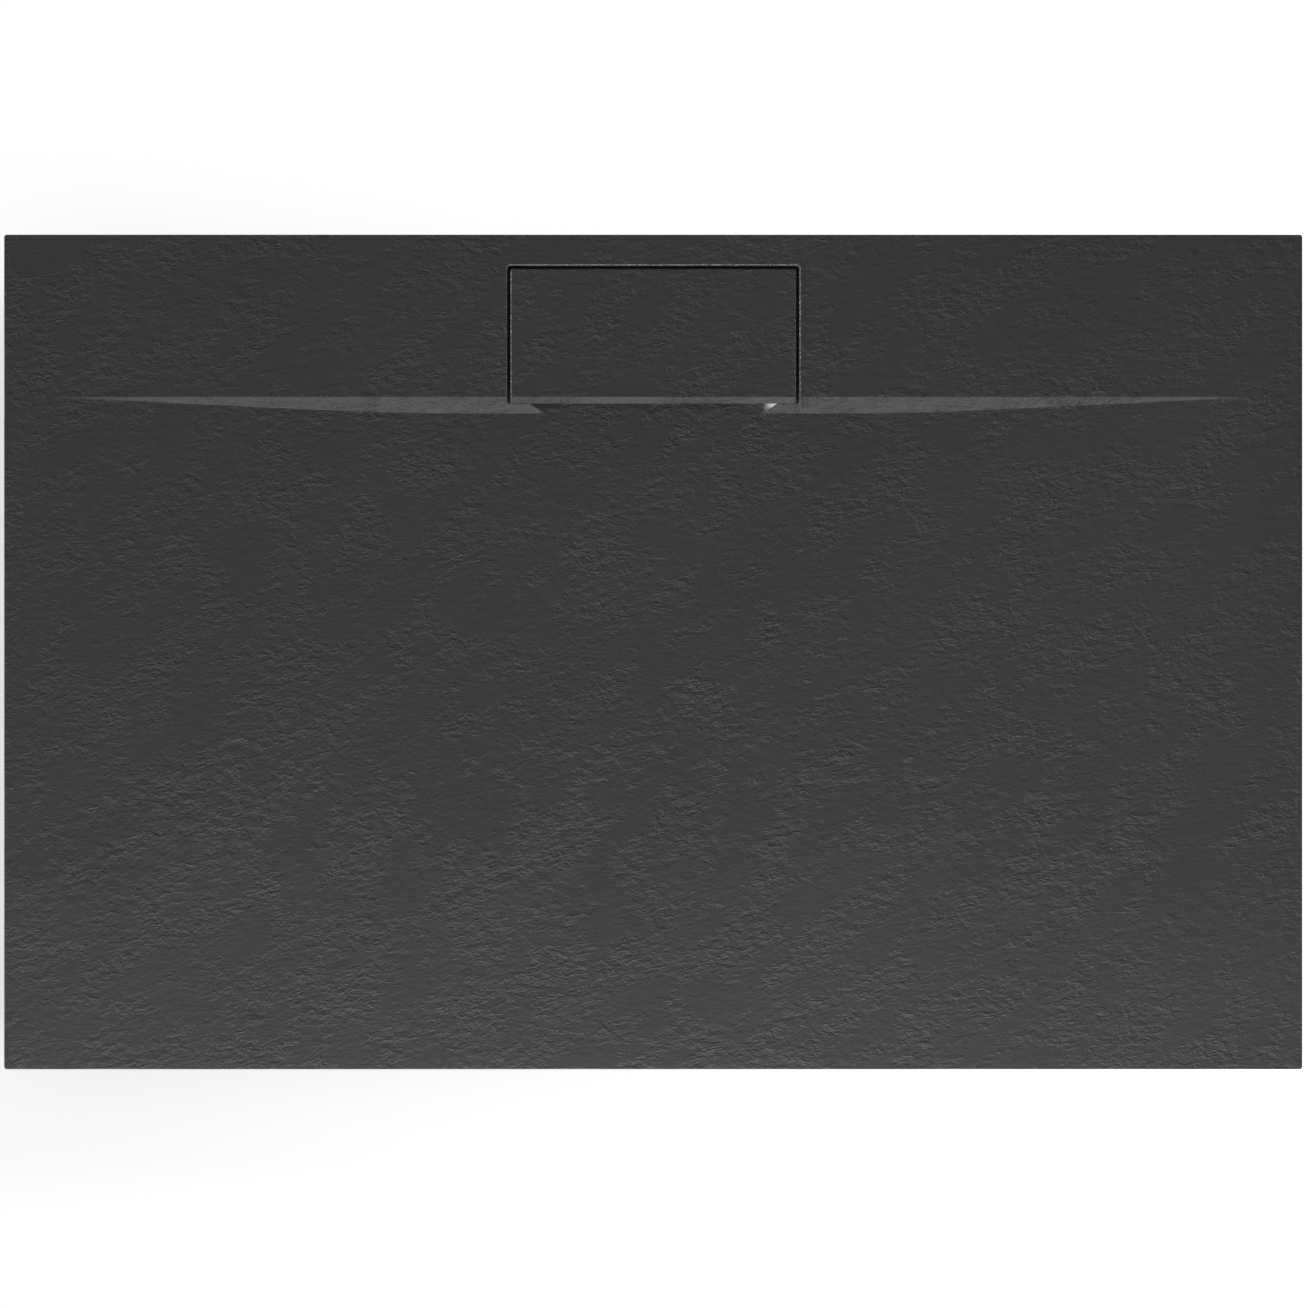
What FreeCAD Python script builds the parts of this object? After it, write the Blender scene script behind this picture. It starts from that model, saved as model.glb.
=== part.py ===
"""Shower tray: a slate-effect composite slab on levelling feet, with its concealed waste.

Millimetres, +Z up, +X along the tray, +Y towards the wall that carries the covered drain.
The origin lies on the room floor, under the middle of the tray.
"""
import FreeCAD, Part
import math
import os
import Sketcher

# ---------------------------------------------------------------- driving dimensions
SIZES = {
    # slab
    "tray_length": 1400, "tray_depth": 900, "tray_height": 35, "stand_height": 70,
    "corner_radius": 3, "edge_radius": 1.5,
    # showering floor: flat lands at the front and sides, a shelf at the back
    "shelf_depth": 175, "fall_depth": 17.5, "riser_run": 17.5,
    "front_land": 12, "side_land": 47, "bend_place": 285, "bend_half": 100,
    # hollow underside
    "deck_wall": 9, "rim_wall": 14, "rib_wall": 7, "sump_wall": 14,
    "ribs_along": 10, "ribs_across": 6, "boss_radius": 42,
    # drain cover, its rebate and the channel beneath it
    "cover_length": 308, "cover_thick": 7, "cover_gap": 3.5, "rebate_inset": 33.5,
    "cover_corner": 2, "cover_edge": 0.8, "rebate_corner": 4, "rebate_edge": 0.8,
    "ledge_side": 24.5, "ledge_back": 16.5, "mouth_slope": 16, "mouth_round": 4,
    "sump_fall": 1.5,
    "bumper_radius": 6, "bumper_height": 2, "bumper_stand": 0.7, "bumper_inset": 12.5,
    "bumper_front": 18, "bumper_middle": 60,
    # waste: flange above the slab, trap below it
    "waste_inset": 112, "waste_radius": 45, "flange_radius": 57, "flange_thick": 3,
    "flange_sink": 0.2, "flange_wall": 1.5, "flange_bowl": 6.8, "flange_shelf": 3,
    "neck_radius": 32.5, "neck_wall": 2.2, "neck_length": 11, "seal_thick": 2,
    "strainer_radius": 46.3, "strainer_thick": 1.5, "strainer_hole": 3,
    "knob_radius": 6, "knob_height": 5,
    "clamp_circle": 38.9, "clamp_shank": 2, "clamp_head": 3.4, "clamp_head_height": 2.6,
    "clamp_length": 32,
    "body_seal_thick": 3, "body_flange_radius": 60, "body_flange_thick": 5,
    "trap_depth": 58, "trap_wall": 3, "trap_round": 2.5, "post_radius": 4, "web_wall": 5,
    "weir_radius": 32, "weir_wall": 2.5, "weir_height": 41,
    "dip_radius": 24, "dip_wall": 2, "dip_gap": 8, "plug_length": 6, "plug_wall": 4.7,
    "funnel_length": 10, "collar_radius": 34.6, "collar_thick": 2, "ring_section": 1.2,
    "grip_wall": 6, "grip_height": 5,
    # outlet to the waste pipe
    "outlet_height": 36, "outlet_bore": 18, "pipe_radius": 20, "spigot_wall": 3.8,
    "spigot_reach": 80, "socket_length": 25, "cone_length": 5,
    "nut_radius": 28, "nut_length": 26, "nut_lip": 3, "nut_flute": 3, "nut_flutes": 12,
    # levelling feet
    "foot_inset": 80, "pad_radius": 32, "pad_rim": 5, "pad_height": 17, "hub_radius": 15,
    "ball_radius": 8, "ball_height": 12, "thread_radius": 6, "thread_neck": 5,
    "collar_low": 19, "collar_high": 26, "spanner_flats": 19, "spindle_depth": 13,
    "lock_nut_height": 8, "socket_radius": 38, "socket_plate": 5, "socket_hub": 14,
    "socket_drop": 25, "fin_wall": 3, "screw_circle": 29, "screw_radius": 2.4,
    "screw_head": 4.5, "screw_head_height": 3, "screw_bite": 11,
    # clearances between pieces
    "running_fit": 0.05, "pipe_ease": 0.2, "ball_ease": 0.2, "loose_fit": 0.3,
    "hand_fit": 0.5, "hole_ease": 1,
}

TOP = "(dim.stand_height + dim.tray_height)"
CREASE = "(dim.tray_depth / 2 - dim.shelf_depth)"
FLOOR_LOW = f"({TOP} - dim.fall_depth)"
FLOOR_HALF = "(dim.tray_length / 2 - dim.side_land)"
COVER_UNDER = f"({TOP} - dim.cover_thick)"
LEDGE = f"({COVER_UNDER} - dim.bumper_stand)"
REBATE_HALF = "(dim.cover_length / 2 + dim.cover_gap)"
REBATE_BACK = "(dim.tray_depth / 2 - dim.rebate_inset)"
SUMP_HALF = f"({REBATE_HALF} - dim.ledge_side)"
SUMP_BACK = f"({REBATE_BACK} - dim.ledge_back)"
FLANGE_TOP = f"({FLOOR_LOW} - dim.sump_fall - dim.flange_sink)"
FLANGE_UNDER = f"({FLANGE_TOP} - dim.flange_thick)"
SEAL_UNDER = f"({FLANGE_UNDER} - dim.seal_thick)"
BOWL_OUTER = "(dim.waste_radius - dim.hole_ease)"
BOWL_INNER = f"({BOWL_OUTER} - dim.flange_wall)"
SHELF_TOP = f"({FLANGE_UNDER} - dim.flange_bowl)"
SHELF_UNDER = f"({SHELF_TOP} - dim.flange_shelf)"
NECK_UNDER = f"({SHELF_UNDER} - dim.neck_length)"
TRAP_TOP = "(dim.stand_height - dim.body_seal_thick)"
TRAP_BASE = "(dim.stand_height - dim.trap_depth)"
TRAP_FLOOR = f"({TRAP_BASE} + dim.trap_wall)"
TRAP_OUTER = "(dim.waste_radius + dim.trap_wall)"
INSERT_PLUG = "(dim.neck_radius - dim.loose_fit)"
RING_RADIUS = "(dim.neck_radius - dim.running_fit - dim.ring_section)"
RING_LEVEL = f"({SHELF_TOP} - dim.plug_length / 2)"
SOCKET_BORE = "(dim.pipe_radius + dim.pipe_ease)"
SPIGOT = f"({SOCKET_BORE} + dim.spigot_wall)"
SPIGOT_END = "dim.spigot_reach"
WASTE_Y = "dim.tray_depth / 2 - dim.waste_inset"

doc = FreeCAD.newDocument("shower_tray")
dim = doc.addObject("Spreadsheet::Sheet", "dim")
for row, (name, value) in enumerate(SIZES.items(), start=1):
    dim.set(f"A{row}", name)
    dim.set(f"B{row}", str(value))
    dim.setAlias(f"B{row}", name)
doc.recompute()


# ---------------------------------------------------------------- drawing helpers
def new_body(label):
    """An empty body that may hold several separate solids of one kind."""
    body = doc.addObject("PartDesign::Body", label)
    body.Label = label
    body.AllowCompound = True
    return body


def sketch_on(body, role="XY_Plane", **offset):
    """A sketch on one of the body's own origin planes, moved by x, y, z expressions."""
    sketch = body.newObject("Sketcher::SketchObject", body.Name + "_sketch")
    plane = [item for item in body.Origin.OriginFeatures if item.Role == role][0]
    sketch.AttachmentSupport = (plane, [""])
    sketch.MapMode = "FlatFace"
    for axis, text in offset.items():
        sketch.setExpression(f"AttachmentOffset.Base.{axis}", text)
    return sketch


def pin_point(sketch, geometry, end, corner, start):
    """Hold one end of a sketch line or arc at a place given by two expressions."""
    for kind, value, text in zip(("DistanceX", "DistanceY"), start, corner):
        held = sketch.addConstraint(Sketcher.Constraint(kind, -1, 1, geometry, end, value))
        sketch.setExpression(f"Constraints[{held}]", text)


def polygon(sketch, corners):
    """A closed outline whose corners are pairs of expressions."""
    count = len(corners)
    first = sketch.GeometryCount
    turn = 2 * math.pi / count
    spots = [FreeCAD.Vector(math.cos(turn * i), math.sin(turn * i), 0) for i in range(count)]
    for i in range(count):
        sketch.addGeometry(Part.LineSegment(spots[i], spots[(i + 1) % count]), False)
    for i in range(count):
        follows = first + (i + 1) % count
        sketch.addConstraint(Sketcher.Constraint("Coincident", first + i, 2, follows, 1))
        pin_point(sketch, first + i, 1, corners[i], (spots[i].x, spots[i].y))


def rectangle(sketch, low_x, low_y, high_x, high_y):
    """A closed rectangle between two opposite corners."""
    polygon(sketch, [(low_x, low_y), (high_x, low_y), (high_x, high_y), (low_x, high_y)])


def circle(sketch, radius, x="0", y="0"):
    """A circle whose radius and centre are expressions."""
    spot = FreeCAD.Vector(1, 1, 0)
    ring = sketch.addGeometry(Part.Circle(spot, FreeCAD.Vector(0, 0, 1), 1), False)
    held = sketch.addConstraint(Sketcher.Constraint("Radius", ring, 1.0))
    sketch.setExpression(f"Constraints[{held}]", radius)
    pin_point(sketch, ring, 3, (x, y), (spot.x, spot.y))


def feature(body, kind, profile, **settings):
    """Add a sketch-based feature; text settings become expressions."""
    made = body.newObject(f"PartDesign::{kind}", f"{body.Name}_{kind}")
    made.Profile = profile
    for name, setting in settings.items():
        if isinstance(setting, str):
            made.setExpression(name, setting)
        else:
            setattr(made, name, setting)
    return made


def pad(body, sketch, length, **settings):
    return feature(body, "Pad", sketch, Length=length, **settings)


def pocket(body, sketch, length, **settings):
    """Cut a sketch away along its normal's reverse, or along it when Reversed is set."""
    return feature(body, "Pocket", sketch, Length=length, **settings)


def turned(body, sketch, kind="Revolution"):
    """Revolve, or groove, a profile once round the sketch's vertical axis."""
    return feature(body, kind, sketch, ReferenceAxis=(sketch, ["V_Axis"]), Angle=360.0)


def polar(body, original, count):
    """Repeat a feature round the body's own Z axis; count may be an expression."""
    pattern = body.newObject("PartDesign::PolarPattern", body.Name + "_polar")
    pattern.Originals = [original]
    axis = [item for item in body.Origin.OriginFeatures if item.Role == "Z_Axis"][0]
    pattern.Axis = (axis, [""])
    pattern.Angle = 360
    if isinstance(count, str):
        pattern.setExpression("Occurrences", count)
    else:
        pattern.Occurrences = count
    body.Tip = pattern
    return pattern


def rounded(body, base, wanted, kind="Fillet", **settings):
    """Fillet or chamfer the edges of the last feature that a test picks out."""
    doc.recompute()
    names = [f"Edge{i}" for i, edge in enumerate(base.Shape.Edges, start=1) if wanted(edge)]
    made = body.newObject(f"PartDesign::{kind}", f"{body.Name}_{kind}")
    made.Base = (base, names)
    for name, setting in settings.items():
        made.setExpression(name, setting)
    return made


def place(body, x="0", y="0", z="0"):
    for axis, text in (("x", x), ("y", y), ("z", z)):
        body.setExpression(f"Placement.Base.{axis}", text)


def disc_ring(label, outer, inner, low, thick):
    """A flat ring round the waste's axis."""
    body = new_body(label)
    sketch = sketch_on(body, z=low)
    circle(sketch, outer)
    circle(sketch, inner)
    pad(body, sketch, thick)
    place(body, y=WASTE_Y)
    return body


def is_upright(edge):
    return len(edge.Vertexes) == 2 and abs(edge.tangentAt(edge.FirstParameter).z) > 0.999


def lies_at(edge, height):
    return all(abs(vertex.Z - height) < 0.001 for vertex in edge.Vertexes)


# ---------------------------------------------------------------- tray: feet positions
def foot_places():
    """Three feet along the front and the middle, two at the back beside the waste."""
    side = "dim.tray_length / 2 - dim.foot_inset"
    edge = "dim.tray_depth / 2 - dim.foot_inset"
    columns = {"left": f"-({side})", "centre": "0", "right": side}
    rows = {"front": f"-({edge})", "middle": "0", "back": edge}
    return {
        f"{row}_{column}": (columns[column], rows[row])
        for row in rows
        for column in columns
        if (row, column) != ("back", "centre")
    }


FEET = foot_places()


# ---------------------------------------------------------------- tray: the moulded slab
def fall_sections(body, sunk, behind):
    """Two sections of the showering floor's fall, sunk under the finished surface.

    The front one is straight. The rear one lies in the sloping plane of the riser, moved
    behind it, and sags to the full fall between two gentle bends.
    """
    top = f"({TOP} - {sunk})"
    outer = "(dim.bend_place + dim.bend_half)"
    inner = "(dim.bend_place - dim.bend_half)"
    slant = "sqrt(dim.fall_depth ^ 2 + dim.riser_run ^ 2)"
    gradient = f"({slant} / ({FLOOR_HALF} - dim.bend_place))"
    knee = f"-({FLOOR_HALF} - {outer}) * {gradient}"
    lid = "20"

    straight = sketch_on(body, "XZ_Plane", y=top, z="dim.tray_depth / 2 - dim.front_land")
    polygon(straight, [
        (f"-{FLOOR_HALF}", "0"), (f"-{outer}", "0"), (f"-{inner}", "0"), (inner, "0"),
        (outer, "0"), (FLOOR_HALF, "0"), (FLOOR_HALF, lid), (f"-{FLOOR_HALF}", lid),
    ])

    sagging = sketch_on(body, "XZ_Plane", y=top, z=f"-{CREASE} - {behind}")
    sagging.AttachmentOffset = FreeCAD.Placement(
        FreeCAD.Vector(), FreeCAD.Rotation(FreeCAD.Vector(1, 0, 0), -45))
    sagging.setExpression(
        "AttachmentOffset.Rotation.Angle", "-atan(dim.riser_run / dim.fall_depth)")
    reach = dim.tray_length / 2 - dim.side_land
    sag = math.hypot(dim.fall_depth, dim.riser_run)
    bend_out = dim.bend_place + dim.bend_half
    bend_in = dim.bend_place - dim.bend_half
    knee_sag = sag * (reach - bend_out) / (reach - dim.bend_place)
    points = [FreeCAD.Vector(x, y, 0) for x, y in (
        (-reach, 0), (-bend_out, -knee_sag), (-bend_in, -sag), (bend_in, -sag),
        (bend_out, -knee_sag), (reach, 0), (reach, sag), (-reach, sag),
    )]
    belly = FreeCAD.Vector(0, -sag * dim.bend_half / (reach - dim.bend_place) / 4, 0)
    for i, point in enumerate(points):
        follows = points[(i + 1) % len(points)]
        if i in (1, 3):
            line = Part.Arc(point, (point + follows) * 0.5 + belly, follows)
        else:
            line = Part.LineSegment(point, follows)
        sagging.addGeometry(line, False)
    for i in range(len(points)):
        follows = (i + 1) % len(points)
        sagging.addConstraint(Sketcher.Constraint("Coincident", i, 2, follows, 1))
    corners = [
        (f"-{FLOOR_HALF}", "0"), (f"-{outer}", knee), (f"-{inner}", f"-{slant}"),
        (inner, f"-{slant}"), (outer, knee), (FLOOR_HALF, "0"), (FLOOR_HALF, lid),
        (f"-{FLOOR_HALF}", lid),
    ]
    for i, corner in enumerate(corners):
        pin_point(sagging, i, 1, corner, (points[i].x, points[i].y))
    sagging.addConstraint(Sketcher.Constraint("Tangent", 0, 1))
    sagging.addConstraint(Sketcher.Constraint("Tangent", 3, 4))
    return straight, sagging


def lofted(body, kind, sections):
    """A straight-ruled loft from the first section to the second."""
    return feature(body, kind, sections[0], Sections=[sections[1]], Ruled=True)


def bumper_places():
    """Two bumpers on each side ledge and two on the back ledge."""
    side = f"({REBATE_HALF} - dim.bumper_inset)"
    front = f"({CREASE} + dim.bumper_front)"
    back = f"({REBATE_BACK} - dim.bumper_inset)"
    middle = f"({REBATE_BACK} - dim.ledge_back / 2)"
    return [
        (f"-{side}", front), (side, front), (f"-{side}", back), (side, back),
        ("-dim.bumper_middle", middle), ("dim.bumper_middle", middle),
    ]


def screw_offsets():
    """Three screws round a foot socket, one of them towards the front."""
    return [
        ("0", "-dim.screw_circle"),
        ("dim.screw_circle * cos(30)", "dim.screw_circle * sin(30)"),
        ("-dim.screw_circle * cos(30)", "dim.screw_circle * sin(30)"),
    ]


def cut_rebate(body):
    """Sink the cover's seat, with rounded rear corners and a bevelled rim."""
    rebate = sketch_on(body, z=TOP)
    rectangle(rebate, f"-{REBATE_HALF}", f"{CREASE} - dim.riser_run",
              REBATE_HALF, REBATE_BACK)
    sunk = pocket(body, rebate, f"{TOP} - {LEDGE}")
    top = dim.stand_height + dim.tray_height
    half = dim.cover_length / 2 + dim.cover_gap
    front = dim.tray_depth / 2 - dim.shelf_depth
    back = dim.tray_depth / 2 - dim.rebate_inset

    def is_rear_corner(edge):
        return is_upright(edge) and abs(edge.CenterOfMass.y - back) < 0.001

    def is_rim(edge):
        spot = edge.CenterOfMass
        return lies_at(edge, top) and abs(spot.x) < half + 0.001 and front < spot.y < back + 0.001

    cornered = rounded(body, sunk, is_rear_corner, Radius="dim.rebate_corner")
    rounded(body, cornered, is_rim, kind="Chamfer", Size="dim.rebate_edge")


def cut_channel(body):
    """Hollow the channel under the cover; its mouth opens in the riser between rounded ends."""
    run = f"({SUMP_HALF} - dim.mouth_slope)"
    mouth = sketch_on(body, "XZ_Plane", z=f"-({CREASE} - dim.riser_run)")
    back = sketch_on(body, "XZ_Plane", z=f"-{SUMP_BACK}")
    for sketch, low in ((mouth, FLOOR_LOW), (back, f"({FLOOR_LOW} - dim.sump_fall)")):
        polygon(sketch, [
            (f"-{run}", low), (run, low), (SUMP_HALF, LEDGE), (SUMP_HALF, TOP),
            (f"-{SUMP_HALF}", TOP), (f"-{SUMP_HALF}", LEDGE),
        ])
    channel = lofted(body, "SubtractiveLoft", (mouth, back))
    foot = dim.stand_height + dim.tray_height - dim.fall_depth
    front = dim.tray_depth / 2 - dim.shelf_depth - dim.riser_run
    half = dim.cover_length / 2 + dim.cover_gap

    def is_mouth_end(edge):
        ends = sorted(edge.Vertexes, key=lambda vertex: vertex.Z)
        low, high = ends[0], ends[-1]
        starts = abs(low.Z - foot) < 0.001 and abs(low.Y - front) < 0.001
        return starts and abs(low.X) < half and high.Z > low.Z + 1 and high.Y > low.Y + 1

    rounded(body, channel, is_mouth_end, Radius="dim.mouth_round")


def make_deck():
    """The slab as seen from above: floor, riser, cover rebate, channel and waste seat."""
    body = new_body("deck")
    outline = sketch_on(body, z="dim.stand_height")
    rectangle(outline, "-dim.tray_length / 2", "-dim.tray_depth / 2",
              "dim.tray_length / 2", "dim.tray_depth / 2")
    slab = pad(body, outline, "dim.tray_height")
    corners = rounded(body, slab, is_upright, Radius="dim.corner_radius")
    top = dim.stand_height + dim.tray_height
    rounded(body, corners, lambda edge: lies_at(edge, top), Radius="dim.edge_radius")
    lofted(body, "SubtractiveLoft", fall_sections(body, "0", "0"))
    cut_rebate(body)
    cut_channel(body)

    for radius, low in (("dim.flange_radius + dim.hand_fit", SEAL_UNDER),
                        ("dim.waste_radius", "(dim.stand_height - 1)")):
        seat = sketch_on(body, z=TOP)
        circle(seat, radius, y=WASTE_Y)
        pocket(body, seat, f"{TOP} - {low}")

    bumpers = sketch_on(body, z=LEDGE)
    for x, y in bumper_places():
        circle(bumpers, "dim.bumper_radius + dim.running_fit", x, y)
    pocket(body, bumpers, "dim.bumper_height - dim.bumper_stand")

    sockets = sketch_on(body, z="dim.stand_height")
    pilots = sketch_on(body, z="dim.stand_height")
    for x, y in FEET.values():
        circle(sockets, "dim.thread_radius + dim.hole_ease", x, y)
        for dx, dy in screw_offsets():
            circle(pilots, "dim.screw_radius + dim.running_fit", f"{x} + {dx}", f"{y} + {dy}")
    pocket(body, sockets, "dim.spindle_depth + dim.hole_ease", Reversed=True)
    pocket(body, pilots, "dim.screw_bite + dim.hole_ease", Reversed=True)
    return body


def make_rib_core():
    """The blocks of the mould that leave the ribs, foot bosses and sump block standing.

    Their tops follow the showering floor at the deck's own thickness beneath it.
    """
    body = new_body("rib_core")
    half_x = "(dim.tray_length / 2 - dim.rim_wall)"
    half_y = "(dim.tray_depth / 2 - dim.rim_wall)"
    outline = sketch_on(body, z="dim.stand_height - 1")
    rectangle(outline, f"-{half_x}", f"-{half_y}", half_x, half_y)
    pad(body, outline, "dim.tray_height - dim.deck_wall + 1")
    lofted(body, "SubtractiveLoft", fall_sections(body, "dim.deck_wall", "dim.deck_wall / 2"))

    through = "dim.tray_height + 2"
    for half, across, count, role in ((half_x, half_y, "dim.ribs_along", "X_Axis"),
                                      (half_y, half_x, "dim.ribs_across", "Y_Axis")):
        pitch = f"(2 * {half} / ({count} + 1))"
        low = f"(-{half} + {pitch} - dim.rib_wall / 2)"
        slot = sketch_on(body, z=TOP)
        if role == "X_Axis":
            rectangle(slot, low, f"-{across}", f"{low} + dim.rib_wall", across)
        else:
            rectangle(slot, f"-{across}", low, across, f"{low} + dim.rib_wall")
        cut = pocket(body, slot, through)
        axis = [item for item in body.Origin.OriginFeatures if item.Role == role][0]
        ribs = body.newObject("PartDesign::LinearPattern", f"{body.Name}_ribs")
        ribs.Originals = [cut]
        ribs.Direction = (axis, [""])
        ribs.setExpression("Length", f"({count} - 1) * {pitch}")
        ribs.setExpression("Occurrences", count)
        body.Tip = ribs
        doc.recompute()

    bosses = sketch_on(body, z=TOP)
    for x, y in FEET.values():
        circle(bosses, "dim.boss_radius", x, y)
    pocket(body, bosses, through)
    block = sketch_on(body, z=TOP)
    rectangle(block, f"-({REBATE_HALF} + dim.sump_wall)",
              f"{CREASE} - dim.riser_run - dim.sump_wall",
              f"{REBATE_HALF} + dim.sump_wall", half_y)
    pocket(body, block, through)
    return body


def make_tray():
    tray = doc.addObject("Part::Cut", "tray_body")
    tray.Base = make_deck()
    tray.Tool = make_rib_core()
    return tray


# ---------------------------------------------------------------- drain cover
def make_cover():
    """A loose plate level with the shelf, its nose bevelled in the plane of the riser."""
    body = new_body("waste_cover")
    back = f"({REBATE_BACK} - dim.cover_gap)"
    nose = f"({CREASE} - dim.cover_thick * dim.riser_run / dim.fall_depth)"
    side = sketch_on(body, "YZ_Plane")
    polygon(side, [(nose, COVER_UNDER), (back, COVER_UNDER), (back, TOP), (CREASE, TOP)])
    plate = pad(body, side, "dim.cover_length", Midplane=True)
    corners = rounded(body, plate, is_upright, Radius="dim.cover_corner")
    top = dim.stand_height + dim.tray_height
    crease = dim.tray_depth / 2 - dim.shelf_depth
    rounded(body, corners,
            lambda edge: lies_at(edge, top) and edge.CenterOfMass.y > crease + 1,
            kind="Chamfer", Size="dim.cover_edge")
    return body


def make_bumpers():
    """Soft discs let into the ledges, for the cover to sit on."""
    body = new_body("cover_bumpers")
    discs = sketch_on(body, z=f"{COVER_UNDER} - dim.bumper_height")
    for x, y in bumper_places():
        circle(discs, "dim.bumper_radius", x, y)
    pad(body, discs, "dim.bumper_height")
    return body


# ---------------------------------------------------------------- waste: above the slab
def make_flange():
    """A dished ring with a neck, clamped down on the slab by screws in its shelf."""
    body = new_body("waste_flange")
    seat = "(dim.strainer_radius + dim.hand_fit)"
    seat_low = f"({FLANGE_TOP} - dim.strainer_thick)"
    profile = sketch_on(body, "XZ_Plane")
    polygon(profile, [
        ("dim.flange_radius", FLANGE_UNDER), ("dim.flange_radius", f"{FLANGE_TOP} - 1"),
        ("dim.flange_radius - 1", FLANGE_TOP), (seat, FLANGE_TOP), (seat, seat_low),
        (BOWL_INNER, seat_low), (BOWL_INNER, SHELF_TOP), ("dim.neck_radius", SHELF_TOP),
        ("dim.neck_radius", NECK_UNDER), ("dim.neck_radius + dim.neck_wall", NECK_UNDER),
        ("dim.neck_radius + dim.neck_wall", SHELF_UNDER), (BOWL_OUTER, SHELF_UNDER),
        (BOWL_OUTER, FLANGE_UNDER),
    ])
    turned(body, profile)
    holes = sketch_on(body, z=SHELF_TOP)
    for x, y in clamp_places():
        circle(holes, "dim.clamp_shank + dim.loose_fit", x, y)
    pocket(body, holes, "dim.flange_shelf")
    place(body, y=WASTE_Y)
    return body


def clamp_places():
    """Four clamping screws on the diagonals of the waste."""
    reach = "dim.clamp_circle * cos(45)"
    return [(f"{a}{reach}", f"{b}{reach}") for a in ("", "-") for b in ("", "-")]


def make_clamp_screws():
    body = new_body("clamp_screws")
    heads = sketch_on(body, z=SHELF_TOP)
    shanks = sketch_on(body, z=SHELF_TOP)
    for x, y in clamp_places():
        circle(heads, "dim.clamp_head", x, y)
        circle(shanks, "dim.clamp_shank", x, y)
    pad(body, heads, "dim.clamp_head_height")
    pad(body, shanks, "dim.clamp_length", Reversed=True)
    place(body, y=WASTE_Y)
    return body


def make_strainer():
    """A perforated disc with a pull knob, flush in the flange."""
    body = new_body("hair_strainer")
    disc = sketch_on(body, z=f"{FLANGE_TOP} - dim.strainer_thick")
    circle(disc, "dim.strainer_radius")
    pad(body, disc, "dim.strainer_thick")
    knob = sketch_on(body, z=FLANGE_TOP)
    circle(knob, "dim.knob_radius")
    pad(body, knob, "dim.knob_height")
    for row in (1, 2, 3):
        hole = sketch_on(body, z=FLANGE_TOP)
        circle(hole, "dim.strainer_hole", f"{row} * dim.strainer_radius / 4")
        polar(body, pocket(body, hole, "dim.strainer_thick"), 6 * row)
    place(body, y=WASTE_Y)
    return body


# ---------------------------------------------------------------- waste: trap under the slab
def make_trap_body():
    """A moulded bowl wall with four screw posts inside and a socketed outlet."""
    body = new_body("trap_body")
    blank = sketch_on(body, "XZ_Plane")
    flange_low = f"({TRAP_TOP} - dim.body_flange_thick)"
    polygon(blank, [
        ("0", TRAP_FLOOR), (TRAP_OUTER, TRAP_FLOOR), (TRAP_OUTER, flange_low),
        ("dim.body_flange_radius", flange_low), ("dim.body_flange_radius", TRAP_TOP),
        ("0", TRAP_TOP),
    ])
    turned(body, blank)
    spigot = sketch_on(body, "XZ_Plane")
    circle(spigot, SPIGOT, y="dim.outlet_height")
    pad(body, spigot, SPIGOT_END, Reversed=True)
    inside = sketch_on(body, z=TRAP_FLOOR)
    circle(inside, "dim.waste_radius")
    pocket(body, inside, f"{TRAP_TOP} - {TRAP_FLOOR}", Reversed=True)
    seat = sketch_on(body, z=TRAP_FLOOR)
    circle(seat, f"{TRAP_OUTER} + dim.running_fit")
    pocket(body, seat, "dim.trap_wall")

    posts = sketch_on(body, z=TRAP_FLOOR)
    pilots = sketch_on(body, z=f"{SHELF_TOP} - dim.clamp_length - 1")
    for x, y in clamp_places():
        circle(posts, "dim.post_radius", x, y)
        circle(pilots, "dim.clamp_shank + dim.running_fit", x, y)
    post_height = f"{TRAP_TOP} - dim.hand_fit - {TRAP_FLOOR}"
    pad(body, posts, post_height)
    webs = sketch_on(body)
    webs.AttachmentOffset = FreeCAD.Placement(
        FreeCAD.Vector(), FreeCAD.Rotation(FreeCAD.Vector(0, 0, 1), 45))
    webs.setExpression("AttachmentOffset.Base.z", TRAP_FLOOR)
    rectangle(webs, "dim.clamp_circle", "-dim.web_wall / 2",
              "dim.waste_radius + 1", "dim.web_wall / 2")
    polar(body, pad(body, webs, post_height), 4)
    doc.recompute()
    pocket(body, pilots, "dim.clamp_length", Reversed=True)

    inlet = "(sqrt(dim.waste_radius ^ 2 - dim.outlet_bore ^ 2) - 1)"
    for radius, length in (("dim.outlet_bore", f"{SPIGOT_END} - {inlet}"),
                           (SOCKET_BORE, "dim.socket_length")):
        bore = sketch_on(body, "XZ_Plane", z=f"-{SPIGOT_END}")
        circle(bore, radius, y="dim.outlet_height")
        pocket(body, bore, length, Reversed=True)
    place(body, y=WASTE_Y)
    return body


def make_trap_base():
    """The trap's floor, a disc welded under the bowl wall."""
    body = new_body("trap_base")
    disc = sketch_on(body, z=TRAP_BASE)
    circle(disc, TRAP_OUTER)
    plate = pad(body, disc, "dim.trap_wall")
    base = dim.stand_height - dim.trap_depth
    rounded(body, plate, lambda edge: lies_at(edge, base), Radius="dim.trap_round")
    place(body, y=WASTE_Y)
    return body


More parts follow.
